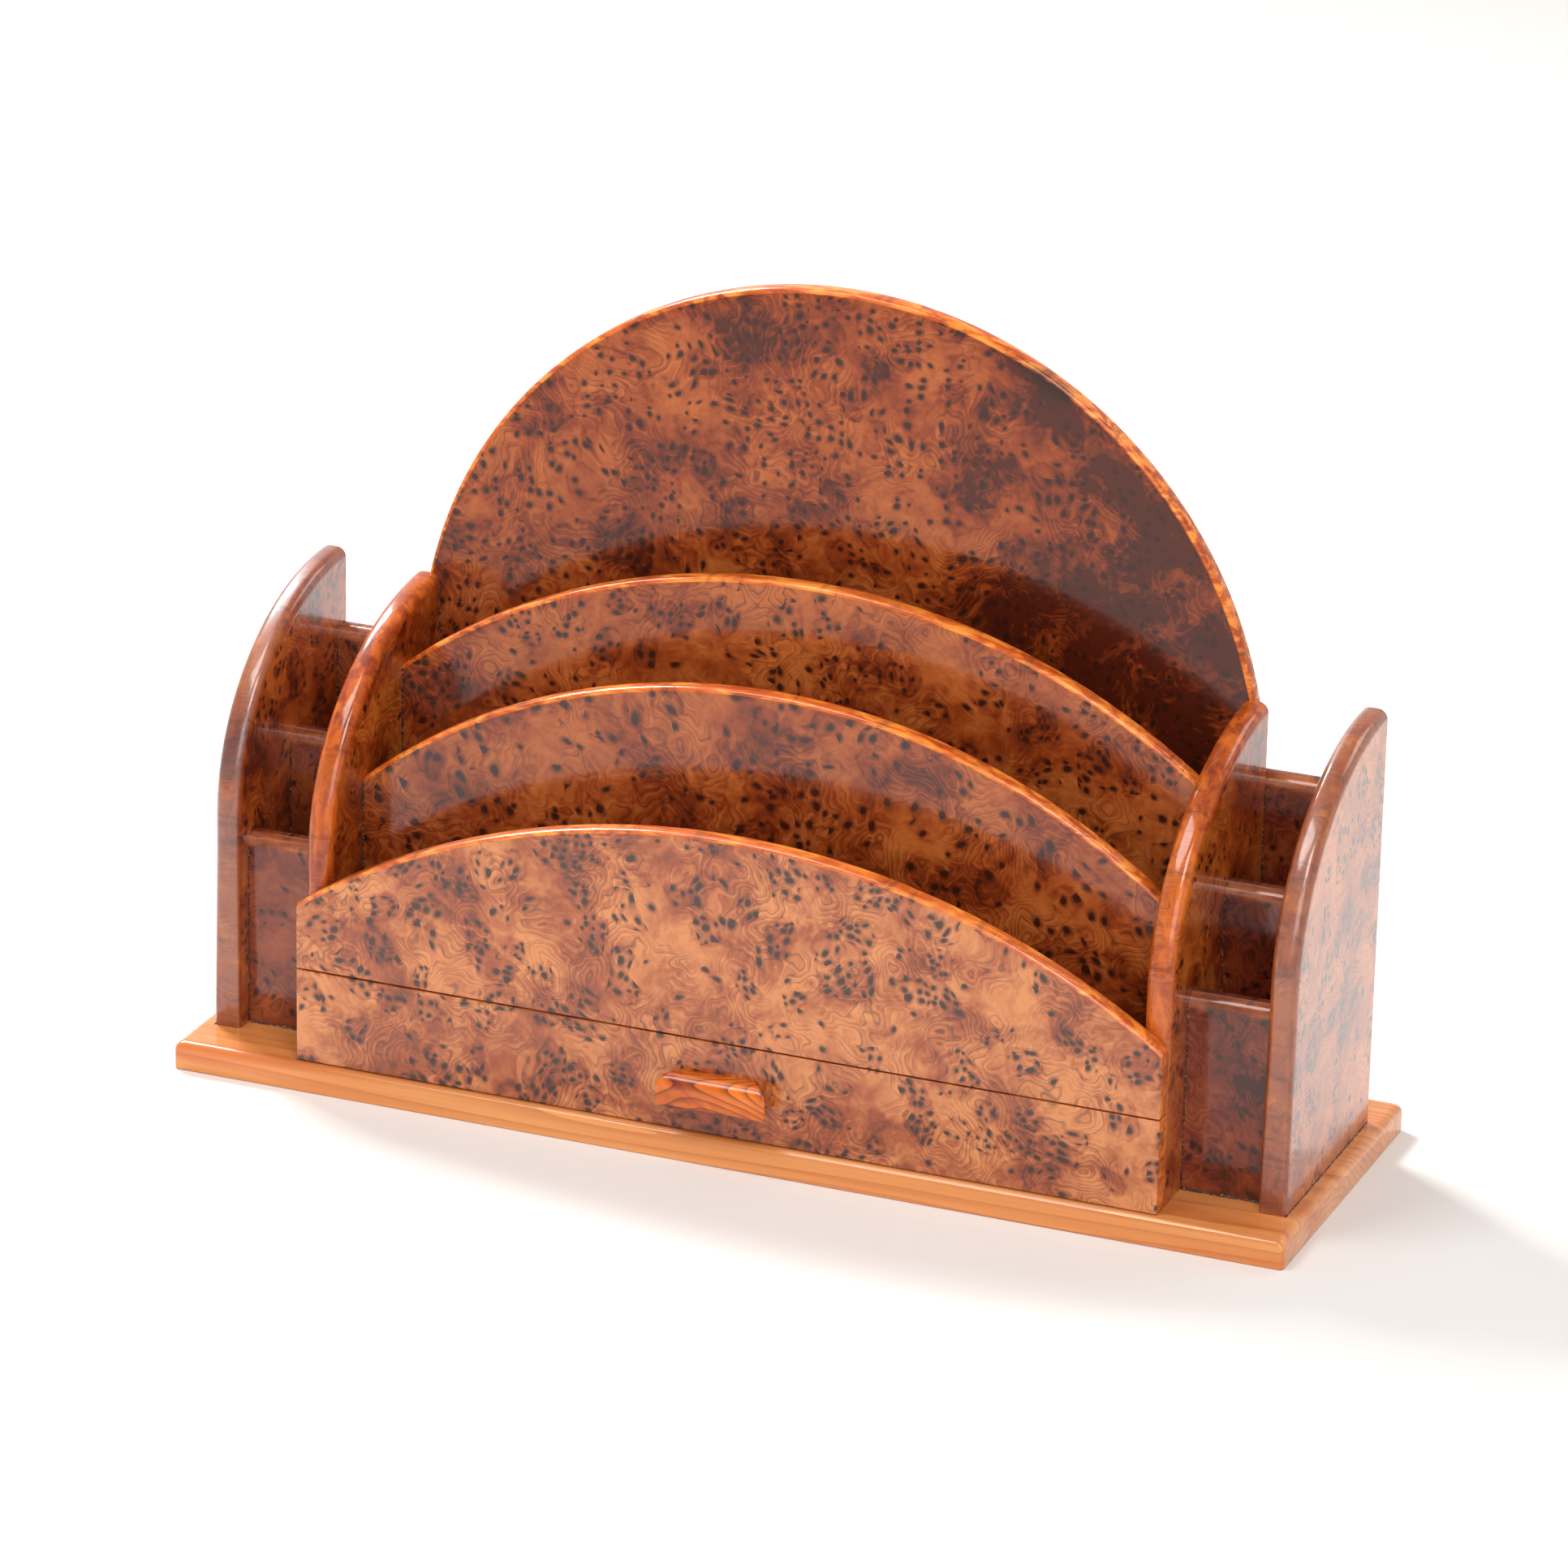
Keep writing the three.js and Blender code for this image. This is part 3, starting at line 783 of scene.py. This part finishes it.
@dataclass
class BackBoard(ArchBoard):
    """The back panel: straight sides under a half circle."""

    def loops(self) -> Loops:
        """Rings round the half circle, each down to the base at both faces.

        The edge is at x = r cos a and z = centre + r sin a, with r the radius less the
        rounding's inset. The inset fades to nothing where the panel's sides run down
        between the side panels.
        """
        low, high = corners(self.node)
        centre = high[2] - self.radius
        depth, inset = self.rounding.profile(high[1] - low[1])
        angle = np.linspace(math.pi, 0, self.stations)[:, None]
        fade = np.minimum(1, 4 * np.sin(angle))
        reach = self.radius - inset[None] * fade
        curve = np.stack(np.broadcast_arrays(
            reach * np.cos(angle), low[1] + depth[None],
            centre + reach * np.sin(angle)), -1)
        return skirted(curve, self.feet(curve, low), self.rows)


@dataclass
class SidePanel:
    """An upright side panel whose front edge bends back over a quarter ellipse."""

    node: str
    start: float
    ellipse_rear: float
    ellipse_top: float
    foot_round: float
    top_round: float
    ramp: tuple[float, float]
    rear_share: float = 0.94
    stations: tuple[int, int] = (22, 56)
    rows: int = 16

    def rounding_at(self, z: np.ndarray) -> np.ndarray:
        """Radius of both long edges at a height: it eases from foot to top over the
        ramp, by the cubic s^2 (3 - 2 s)."""
        share = np.clip((z - self.ramp[0]) / (self.ramp[1] - self.ramp[0]), 0, 1)
        return self.foot_round + (self.top_round - self.foot_round) * share ** 2 * (
            3 - 2 * share)

    def loops(self) -> Loops:
        """Rings along the front edge, each from the rear edge out to it and back.

        The edge rises straight to the start height, then follows y = rear - (a - i)
        cos t and z = start + (b - i) sin t, where i is the rounding's inset. A ring's
        foot on the rear edge is a little lower than its point on the front edge. The
        rear edge is marked as an edge too.
        """
        low, high = corners(self.node)
        rise = self.ellipse_top - self.start
        reach = self.ellipse_rear - low[1]
        stop = math.acos((self.ellipse_rear - high[1]) / reach)
        straight = np.linspace(low[2], self.start, self.stations[0])
        turn = np.linspace(0, stop, self.stations[1])[1:]
        unit = Rounding(1.0, 1.0).profile(2.0)
        far = np.arange(len(unit[0])) >= len(unit[0]) // 2
        from_face = np.where(far, 2.0 - unit[0], unit[0])

        radius = self.rounding_at(np.concatenate([
            straight, self.start + rise * np.sin(turn)]))[:, None]
        inset = radius * unit[1][None]
        n = len(straight)
        y = np.empty_like(inset)
        z = np.empty_like(inset)
        y[:n] = low[1] + inset[:n]
        z[:n] = straight[:, None]
        y[n:] = self.ellipse_rear - (reach - inset[n:]) * np.cos(turn)[:, None]
        z[n:] = self.start + (rise - inset[n:]) * np.sin(turn)[:, None]
        y[-1] = high[1]
        x = np.where(far[None], high[0] - radius * from_face[None],
                     low[0] + radius * from_face[None])
        curve = np.stack([x, y, z], -1)
        feet = curve[:, [0, -1]]
        feet[:, :, 1] = high[1]
        feet[:, :, 2] = low[2] + (feet[:, :, 2] - low[2]) * self.rear_share
        panel = skirted(curve, feet, self.rows, 0.012)
        panel.edge[:, (0, -1)] = 1
        return panel

    def build(self, material: Material) -> Object:
        """Builds the panel and dresses it."""
        piece = self.loops().mesh(f"{self.node}_board")
        return dress(piece, material, "burl", RACK, self.node)


def bar_rings(outline: np.ndarray, low_x: np.ndarray, high_x: np.ndarray,
              stations: int) -> np.ndarray:
    """Carries a YZ outline along X between two ends.

    Args:
        outline: Points by 2, Y and Z.
        low_x: X of the first end at each point.
        high_x: X of the last end at each point.
        stations: Number of rings.

    Returns:
        Rings by points by 3: x runs straight from low_x to high_x at every point.
    """
    share = np.linspace(0, 1, stations)[:, None]
    x = low_x[None] + (high_x - low_x)[None] * share
    y = np.broadcast_to(outline[:, 0], x.shape)
    z = np.broadcast_to(outline[:, 1], x.shape)
    return np.stack([x, y, z], -1)


def rounded_outline(low: Sequence[float], high: Sequence[float],
                    radii: Sequence[float], steps: int = 6,
                    rows: int = 6) -> tuple[np.ndarray, np.ndarray]:
    """Rectangle in YZ with each corner rounded by its own radius.

    A corner is the quarter circle c + r (cos a, sin a) round its own centre c, and a
    side is a straight run of points with one close to each corner.

    Args:
        low: Lowest Y and Z.
        high: Highest Y and Z.
        radii: Radius at front bottom, rear bottom, rear top and front top.
        steps: Steps round each corner.
        rows: Steps along each side.

    Returns:
        Points by 2, and 1 for each point on a rounded corner.
    """
    places = [(low[0], low[1], 1, 1), (high[0], low[1], -1, 1),
              (high[0], high[1], -1, -1), (low[0], high[1], 1, -1)]
    starts = [math.pi, 1.5 * math.pi, 0.0, 0.5 * math.pi]
    arcs = []
    for (y, z, side, up), radius, start in zip(places, radii, starts):
        angle = start + np.linspace(0, math.pi / 2, steps + 1)
        arcs.append(np.stack([y + radius * (side + np.cos(angle)),
                              z + radius * (up + np.sin(angle))], 1))
    parts, marks = [], []
    share = eased(rows)[1:-1, None]
    for i, arc in enumerate(arcs):
        following = arcs[(i + 1) % 4][0]
        side_run = arc[-1] + (following - arc[-1]) * share
        mark = np.ones(len(arc))
        mark[[0, -1]] = 0.0
        parts += [arc, side_run]
        marks += [mark, np.zeros(len(side_run))]
    return np.concatenate(parts), np.concatenate(marks)


@dataclass
class Bar:
    """A straight board along X with a rounded-rectangle section."""

    node: str
    radii: tuple[float, float, float, float]
    end_round: float = 0.0
    stations: int = 12
    bare_edge: float = 1.0

    def build(self, material: Material, slot: str,
              body: str) -> Object:
        """Builds the bar and dresses it."""
        low, high = corners(self.node)
        outline, mark = rounded_outline(low[1:], high[1:], self.radii)
        ones = np.ones(len(outline))
        points = bar_rings(outline, low[0] * ones, high[0] * ones, self.stations)
        if self.end_round:
            points = shrink_ends(points, self.end_round)
        edge = np.repeat(mark[None], len(points), 0) * self.bare_edge
        if self.end_round:
            edge[[0, -1]] = 1.0
            edge[:, outline[:, 1] > high[2] - 0.01 * MM] = 1.0
        piece = Loops(points, edge).mesh(f"{self.node}_board")
        return dress(piece, material, slot, body, self.node)


@dataclass
class Pull:
    """The drawer pull: a small bar, dovetailed in plan, with a rounded top front."""

    node: str = "drawer_pull"
    rear_width: float = 24 * MM
    front_width: float = 35.6 * MM
    top_round: float = 4.6 * MM
    ease: float = 0.5 * MM
    stations: int = 24

    def build(self, material: Material) -> Object:
        """Builds the pull: its half width grows straight towards the front."""
        low, high = corners(self.node)
        outline, mark = rounded_outline(
            low[1:], high[1:], (self.ease, self.ease * 0.2, self.ease * 0.2,
                                self.top_round), steps=10, rows=6)
        share = (high[1] - outline[:, 0]) / (high[1] - low[1])
        half = (self.rear_width + (self.front_width - self.rear_width) * share) / 2
        points = bar_rings(outline, -half, half, self.stations)
        draw = self.ease * np.array([1.0, 0.3, 0.0])
        ends = []
        for ring, side in ((points[0], 1), (points[-1], -1)):
            middle = (low[1:] + high[1:]) / 2
            size = (high[1:] - low[1:]) / 2
            steps = np.repeat(ring[None], 3, 0)
            steps[:, :, 1:] = middle + (steps[:, :, 1:] - middle) * (
                1 - draw[:, None, None] / size)
            steps[:, :, 0] += side * self.ease * np.array([0.0, 0.3, 1.0])[:, None]
            ends.append(steps)
        points = np.concatenate([ends[0], points[1:-1], ends[1][::-1]])
        edge = np.repeat(mark[None], len(points), 0)
        piece = Loops(points, edge).mesh("drawer_pull_bar")
        return dress(piece, material, "pull_wood", DRAWER, self.node)


@dataclass
class BaseBoard:
    """The base: square sides, round-over along the top edges, eased corners."""

    node: str = "base_board"
    round_over: float = 2.7 * MM
    corner: float = 1.6 * MM
    foot_ease: float = 0.4 * MM

    def ring(self, inset: float, z: float) -> np.ndarray:
        """Rounded rectangle at a height, drawn in by an inset.

        Sides are straight runs and corners quarter circles of the corner radius.
        """
        low, high = corners(self.node)
        radius = self.corner
        outline, _ = rounded_outline(low[:2] + inset, high[:2] - inset, (radius,) * 4,
                                     steps=6, rows=24)
        return np.concatenate([outline, np.full((len(outline), 1), z)], 1)

    def build(self, material: Material) -> Object:
        """Builds the base from rings that climb its sides and round over its top."""
        low, high = corners(self.node)
        angle = np.linspace(0, math.pi / 2, 9)
        heights = high[2] - self.round_over * (1 - np.sin(angle))
        insets = self.round_over * (1 - np.cos(angle))
        rings = [self.ring(self.foot_ease, low[2]),
                 self.ring(0.0, low[2] + self.foot_ease)]
        rings += [self.ring(i, z) for i, z in zip(insets, heights)]
        rings += [self.ring(self.round_over + 0.4 * MM, high[2])]
        piece = Loops(np.stack(rings)).mesh("base_board_board")
        return dress(piece, material, "base", RACK, self.node)


@dataclass
class CornerBead:
    """Thin uneven line of glue and sanding dust in the corner between two boards; by
    the back panel it is also painted shadow.

    Its section is a small triangle with a hollow front: two legs along the boards,
    and a size that wanders along the joint as a sum of sines.
    """

    name: str
    start: tuple[float, float, float]
    end: tuple[float, float, float]
    first: tuple[float, float, float]
    second: tuple[float, float, float]
    size: float = 0.55 * MM
    seed: float = 0.0

    def build(self, material: Material) -> Object:
        """Builds the bead along its joint."""
        start, end = np.array(self.start), np.array(self.end)
        length = float(np.linalg.norm(end - start))
        count = max(12, int(length / (1.1 * MM)))
        along = np.linspace(0, 1, count)
        run = along * length / MM
        wander = (0.75 + 0.22 * np.sin(run * 0.61 + self.seed * 3.1)
                  + 0.2 * np.sin(run * 1.73 + self.seed * 5.7)
                  + 0.16 * np.sin(run * 3.1 + self.seed * 9.2))
        size = self.size * np.clip(wander, 0.15, 1.5)[:, None, None]
        first, second = np.array(self.first), np.array(self.second)
        section = np.array([[-0.2, -0.2], [1.0, -0.2], [1.0, 0.04], [0.42, 0.42],
                            [0.04, 1.0], [-0.2, 1.0]])
        offsets = section[:, :1] * first + section[:, 1:] * second
        path = start + (end - start) * along[:, None]
        points = path[:, None] + size * offsets[None]
        return dress(Loops(points).mesh(self.name), material, "burl", RACK)


# ---- sub-assemblies


class Side(Enum):
    """The two ends of the rack."""

    RIGHT = 1
    LEFT = -1

    @property
    def word(self) -> str:
        """The side's name as the nodes have it."""
        return self.name.lower()


@dataclass
class Base:
    """The base board that everything stands on."""

    board: BaseBoard = field(default_factory=BaseBoard)
    wood: StraightThuya = StraightThuya(name="varnished_straight_thuya")

    def build(self) -> list[Object]:
        """Builds and dresses the base."""
        return [self.board.build(self.wood.material())]


@dataclass
class LetterSlots:
    """Front panel, two dividers and back panel: three slots for letters."""

    front_radius: float = 244 * MM
    back_radius: float = 137.8 * MM
    divider_round: float = 1.5 * MM
    back_round: float = 1.7 * MM
    front_round: float = 1.4 * MM

    def build(self, face: Material) -> list[Object]:
        """Builds the four boards and puts a finish on the floor between them.

        Args:
            face: The figured wood that the front panel and the drawer front share.

        Returns:
            The new pieces.
        """
        rear = ThuyaBurl(name="thuya_burl_rear_divider", offset_mm=(211.0, 90.0, 37.0),
                         grouped=0.9, scattered=0.12, eye_spacing_mm=3.6,
                         coat_weight=0.8)
        front = ThuyaBurl(name="thuya_burl_front_divider", eye_spacing_mm=4.4,
                          eye_radius_mm=(0.8, 1.6), scattered=0.2, grouped=0.6,
                          depth_of_tone=0.04,
                          offset_mm=(-93.0, 31.0, 83.0))
        back = ThuyaBurl(name="thuya_burl_back_panel", offset_mm=(47.0, 10.0, -61.0),
                         grouped=0.85, scattered=0.38, eye_spacing_mm=3.9,
                         eye_radius_mm=(0.55, 1.2), dark_side_mm=(20.0, 90.0),
                         coat_weight=0.7, depth_of_tone=0.10,
                         knot=Knot((66.0, 229.0), (13.0, 4.6), -28.0))
        small = Rounding(self.divider_round, self.divider_round)
        pieces = [
            BackBoard("back_panel", self.back_radius,
                      Rounding(self.back_round, self.back_round),
                      stations=120, rows=20).build(back.material()),
            ArchBoard("rear_divider", REAR_DIVIDER_RADIUS, small,
                      end_round=0.0).build(rear.material()),
            ArchBoard("front_divider", FRONT_DIVIDER_RADIUS, small,
                      end_round=0.0).build(front.material()),
            ArchBoard("front_panel", self.front_radius,
                      Rounding(self.front_round, self.front_round)).build(face),
        ]
        repaint("slot_floor", BareWood(name="bare_slot_floor", light="#a5683a",
                                       dark="#7c4522").material())
        return pieces


@dataclass
class PenEnd:
    """One end of the rack: two side panels and three walls between them."""

    side: Side
    start_inner: float = 73.4 * MM
    start_outer: float = 78 * MM
    top_inner: float = 141 * MM
    top_outer: float = 142 * MM
    ellipse_rear: float = 40.1 * MM
    panel_round: float = 3.2 * MM
    foot_inner: float = 0.4 * MM
    foot_outer: float = 1.3 * MM
    ramp_inner: tuple[float, float] = (52 * MM, 62 * MM)
    ramp_outer: tuple[float, float] = (9 * MM, 78 * MM)
    wall_rounds: tuple[float, float, float, float] = (
        0.2 * MM, 0.2 * MM, 1.2 * MM, 4.2 * MM)

    def build(self) -> list[Object]:
        """Builds both panels and the three walls of this end."""
        word, turn = self.side.word, float(self.side.value)
        pieces = [
            SidePanel(f"inner_panel_{word}", self.start_inner, self.ellipse_rear,
                      self.top_inner, self.foot_inner, self.panel_round,
                      self.ramp_inner).build(self.panel_wood("inner", turn * 140)),
            SidePanel(f"outer_panel_{word}", self.start_outer, self.ellipse_rear,
                      self.top_outer, self.foot_outer, self.panel_round,
                      self.ramp_outer).build(self.panel_wood("outer", turn * 310)),
        ]
        for i, place in enumerate(PLACES):
            # Same colours on both ends; the tone shift by side is painted shade on the
            # right walls and painted light on the left ones.
            wood = ThuyaBurl(
                name=f"thuya_burl_{place}_wall_{word}", grouped=0.5, scattered=0.1,
                offset_mm=(turn * 40.0, i * 35.0, turn * 60.0 + i * 41.0),
                dark="#3a120a", middle="#702b15", light="#944824", edge="#a85a30",
                edge_light="#c88050", edge_share=0.5, depth_of_tone=0.15 * turn)
            bar = Bar(f"pen_wall_{place}_{word}", self.wall_rounds)
            pieces.append(bar.build(wood.material(), "burl", RACK))
        return pieces

    def panel_wood(self, which: str, shift: float) -> Material:
        """Wood for a side panel. Outer panels have more eyes and browner edges."""
        outer = which == "outer"
        return ThuyaBurl(
            name=f"thuya_burl_{which}_panel_{self.side.word}", plane=Plane.SIDE,
            grouped=0.8 if outer else 0.35, scattered=0.04,
            wood_sheen=0.8 if outer else 0.12,
            depth_of_tone=0.05 - 0.09 * self.side.value,
            offset_mm=(shift, shift * 0.7, 3.0),
            dark="#5a1c08", middle="#9c4312", light="#cf742c",
            edge="#5a2109" if outer else "#9c3a0a",
            edge_light="#944618" if outer else "#cc6418", edge_share=0.8).material()


@dataclass
class Drawer:
    """The drawer under the slots: front, pull, box and two screws."""

    front_round: float = 0.3 * MM
    pull: Pull = field(default_factory=Pull)

    def build(self, face: Material) -> list[Object]:
        """Builds the front and the pull, and finishes the box and screws.

        Args:
            face: The figured wood that runs on from the front panel.

        Returns:
            The new pieces.
        """
        pull_wood = StraightThuya(
            name="varnished_streaked_thuya", light="#ea7c1c", middle="#b44006",
            dark="#5a1b05", flush="#8a2c06", ring_mm=1.5, wave_mm=4.0,
            heart_mm=(0.0, -40.0, 6.0), turn_deg=(0.0, -38.0, 22.0), streaks=0.85)
        pieces = [
            Bar("drawer_front", (self.front_round,) * 4, end_round=0.45 * MM,
                stations=60, bare_edge=0.0).build(face, "burl", DRAWER),
            self.pull.build(pull_wood.material()),
        ]
        bare = BareWood().material()
        steel = ZincSteel().material()
        for name in ("drawer_side_right", "drawer_side_left", "drawer_back",
                     "drawer_bottom"):
            repaint(name, bare)
        for name in ("pull_screw_right", "pull_screw_left"):
            repaint(name, steel)
        return pieces


def repaint(name: str, material: Material) -> None:
    """Puts a finish on a CAD node that stays as it is."""
    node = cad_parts[name]
    node.data.materials.clear()
    node.data.materials.append(material)
    LOG.info("%s: kept, in %s", node.name, material.name)


@dataclass
class Joints:
    """Glue and dust in the corners where boards meet, and painted shadow in the gap
    beside the back panel.
    """

    glue: GlueLine = GlueLine()

    def build(self) -> list[Object]:
        """Builds one bead for each joint that can be seen."""
        material = self.glue.material()
        return [bead.build(material) for bead in self.upright() + self.level()]

    def rising(self, name: str, x: float, y: float, span: tuple[float, float],
               way: float, **more: float) -> CornerBead:
        """A bead up the corner at x and y, with its legs along X and to the front."""
        return CornerBead(name, (x, y, span[0]), (x, y, span[1]), (way, 0, 0),
                        (0, -1, 0), **more)

    def upright(self) -> list[CornerBead]:
        """Beads at the ends of the dividers, the back panel and the pen walls."""
        beads = []
        floor_top = corners("slot_floor")[1][2]
        base_top = corners("base_board")[1][2]
        radii = {"front_divider": FRONT_DIVIDER_RADIUS,
                 "rear_divider": REAR_DIVIDER_RADIUS}
        for side in Side:
            word, sign = side.word, float(side.value)
            for i, (node, radius) in enumerate(radii.items()):
                low, high = corners(node)
                top = high[2] - radius + math.sqrt(radius ** 2 - high[0] ** 2)
                beads.append(self.rising(
                    f"glue_{node}_{word}", sign * high[0], low[1],
                    (floor_top, top - 1.2 * MM), -sign, seed=i + sign))
            panel = corners(f"inner_panel_{word}")
            near, far = (0, 1) if side is Side.RIGHT else (1, 0)
            # This dark line is glue and also painted shadow: it stands for the shadow
            # in the gap between the inner panel and the back panel.
            beads.append(self.rising(
                f"glue_back_panel_{word}", panel[near][0], corners("back_panel")[0][1],
                (floor_top, panel[1][2] - 3.4 * MM), -sign, size=0.4 * MM,
                seed=4 + sign))
            for i, place in enumerate(PLACES):
                wall = corners(f"pen_wall_{place}_{word}")
                for name, x, way in (("in", panel[far][0], sign),
                                     ("out", wall[far][0], -sign)):
                    beads.append(self.rising(
                        f"glue_{place}_wall_{name}_{word}", x, wall[0][1],
                        (base_top, wall[1][2] - 4.0 * MM), way, size=0.45 * MM,
                        seed=7 + i * 1.7 + way))
        return beads

    def level(self) -> list[CornerBead]:
        """Beads along the base, under the pen walls and beside the outer panels."""
        beads = []
        base_top = corners("base_board")[1][2]
        for side in Side:
            word, sign = side.word, float(side.value)
            for i, place in enumerate(PLACES):
                low, high = corners(f"pen_wall_{place}_{word}")
                if place == "rear":
                    low[0] = corners(f"pen_wall_middle_{word}")[0][0]
                beads.append(CornerBead(
                    f"glue_{place}_wall_foot_{word}", (low[0], low[1], base_top),
                    (high[0], low[1], base_top), (0, -1, 0), (0, 0, 1),
                    size=0.7 * MM, seed=13 + i * 2.3 + sign))
            low, high = corners(f"outer_panel_{word}")
            at = low[0] if side is Side.LEFT else high[0]
            beads.append(CornerBead(
                f"glue_outer_panel_foot_{word}", (at, low[1], base_top),
                (at, high[1], base_top), (sign, 0, 0), (0, 0, 1), size=0.35 * MM,
                seed=20 + sign))
        return beads


# ---- studio and camera


@dataclass
class Studio:
    """Pale floor, soft lights and camera."""

    floor_radius: float = 9.0
    paper_colour: str = "#eae6e2"
    wall_strength: float = 0.92
    ceiling_strength: float = 0.26
    azimuth_deg: float = 21.67
    elevation_deg: float = 20.97
    roll_deg: float = 1.22
    distance: float = 2.3422
    look_at: tuple[float, float, float] = (0.0, 0.0021, 0.054)
    shift: tuple[float, float] = (-0.00129, 0.04601)
    sensor_mm: float = 36.0
    lens_mm: float = 177.018634

    def floor(self) -> None:
        """A wide round floor: one flat disc, x = r cos a and y = r sin a."""
        angle = np.linspace(0, 2 * math.pi, 96, endpoint=False)
        points = self.floor_radius * np.stack(
            [np.cos(angle), np.sin(angle), np.zeros_like(angle)], 1)
        data = bpy.data.meshes.new("floor")
        data.from_pydata(points.tolist(), [], [list(range(len(points)))])
        piece = bpy.data.objects.new("floor", data)
        bpy.context.scene.collection.objects.link(piece)
        data.materials.append(self.paper())

    def paper(self) -> Material:
        """Matt pale paper, as on a studio roll: it spreads light and hardly mirrors."""
        return Shader("matt_pale_paper").surface(Base_Color=linear(self.paper_colour),
                                                 Roughness=0.6)

    def light(self, name: str, place: tuple[float, float, float],
              target: tuple[float, float, float], size: tuple[float, float],
              power: float) -> None:
        """Hangs a soft rectangular light and turns it to a point.

        Args:
            name: Name of the light.
            place: Its middle, in metres.
            target: The point that it faces.
            size: Width and height, in metres.
            power: Power in watts.
        """
        data = bpy.data.lights.new(name, "AREA")
        data.shape = "RECTANGLE"
        data.size, data.size_y = size
        data.energy = power
        lamp = bpy.data.objects.new(name, data)
        bpy.context.scene.collection.objects.link(lamp)
        lamp.location = place
        way = Vector(target) - Vector(place)
        lamp.rotation_euler = way.to_track_quat("-Z", "Y").to_euler()

    def lights(self) -> None:
        """Key from behind on the left, softer lights from above, in front and behind on
        the right, and a room with white walls and a dimmer ceiling."""
        self.light("key_light", (-0.95, 0.62, 1.15), (0.0, 0.05, 0.05), (0.42, 0.42),
                   29.0)
        self.light("top_light", (-0.32, -0.42, 1.25), (0.0, 0.0, 0.06), (0.5, 0.5), 6.0)
        self.light("edge_light", (0.44, -0.64, 1.12), (0.0, 0.0, 0.1), (0.4, 0.4), 5.0)
        self.light("floor_light", (0.95, 1.25, 1.5), (0.75, 1.05, 0.0), (0.9, 0.9), 7.0)
        self.light("front_fill", (0.9, -1.7, 1.1), (0.0, 0.0, 0.08), (1.4, 1.0), 12.0)
        world = bpy.data.worlds.new("white_room")
        world.use_nodes = True
        room = Nodes(world.node_tree)
        background = world.node_tree.nodes["Background"]
        background.inputs[0].default_value = linear("#ffffff")
        way = room.add("ShaderNodeTexCoord").outputs["Generated"]
        height = room.add("ShaderNodeSeparateXYZ", Vector=way).outputs[2]
        strength = room.remap(height, 0.12, 0.75, self.wall_strength,
                              self.ceiling_strength)
        world.node_tree.links.new(strength, background.inputs[1])
        bpy.context.scene.world = world

    def camera(self) -> None:
        """Long lens, a little to the right of the middle and above the rack."""
        azimuth, elevation, roll = (math.radians(value) for value in (
            self.azimuth_deg, self.elevation_deg, self.roll_deg))
        back = Vector((math.sin(azimuth) * math.cos(elevation),
                       -math.cos(azimuth) * math.cos(elevation), math.sin(elevation)))
        level = Vector((math.cos(azimuth), math.sin(azimuth), 0.0))
        rise = back.cross(level)
        right = level * math.cos(roll) + rise * math.sin(roll)
        up = rise * math.cos(roll) - level * math.sin(roll)
        place = (Vector(self.look_at) + back * self.distance + right * self.shift[0]
                 + up * self.shift[1])
        data = bpy.data.cameras.new("camera")
        data.sensor_width = self.sensor_mm
        data.lens = self.lens_mm
        camera = bpy.data.objects.new("camera", data)
        bpy.context.scene.collection.objects.link(camera)
        turned = Matrix((right, up, back)).transposed().to_4x4()
        camera.matrix_world = Matrix.Translation(place) @ turned
        bpy.context.scene.camera = camera

    def build(self) -> None:
        """Sets up the floor, the lights, the camera and plain colours."""
        self.floor()
        self.lights()
        self.camera()
        bpy.context.scene.view_settings.view_transform = "Standard"


def main() -> None:
    """Builds every sub-assembly in order."""
    logging.basicConfig(level=logging.INFO, format="%(name)s: %(message)s")
    face = ThuyaBurl(name="thuya_burl_front", offset_mm=(12.0, 22.0, 5.0),
                     wood_sheen=0.3, depth_of_tone=-0.04, dark="#54200e",
                     middle="#9a481e", light="#cd8048").material()
    Base().build()
    LetterSlots().build(face)
    for side in Side:
        PenEnd(side).build()
    Drawer().build(face)
    Joints().build()
    Studio().build()
    bpy.context.view_layer.update()


if __name__ == "__main__":
    main()
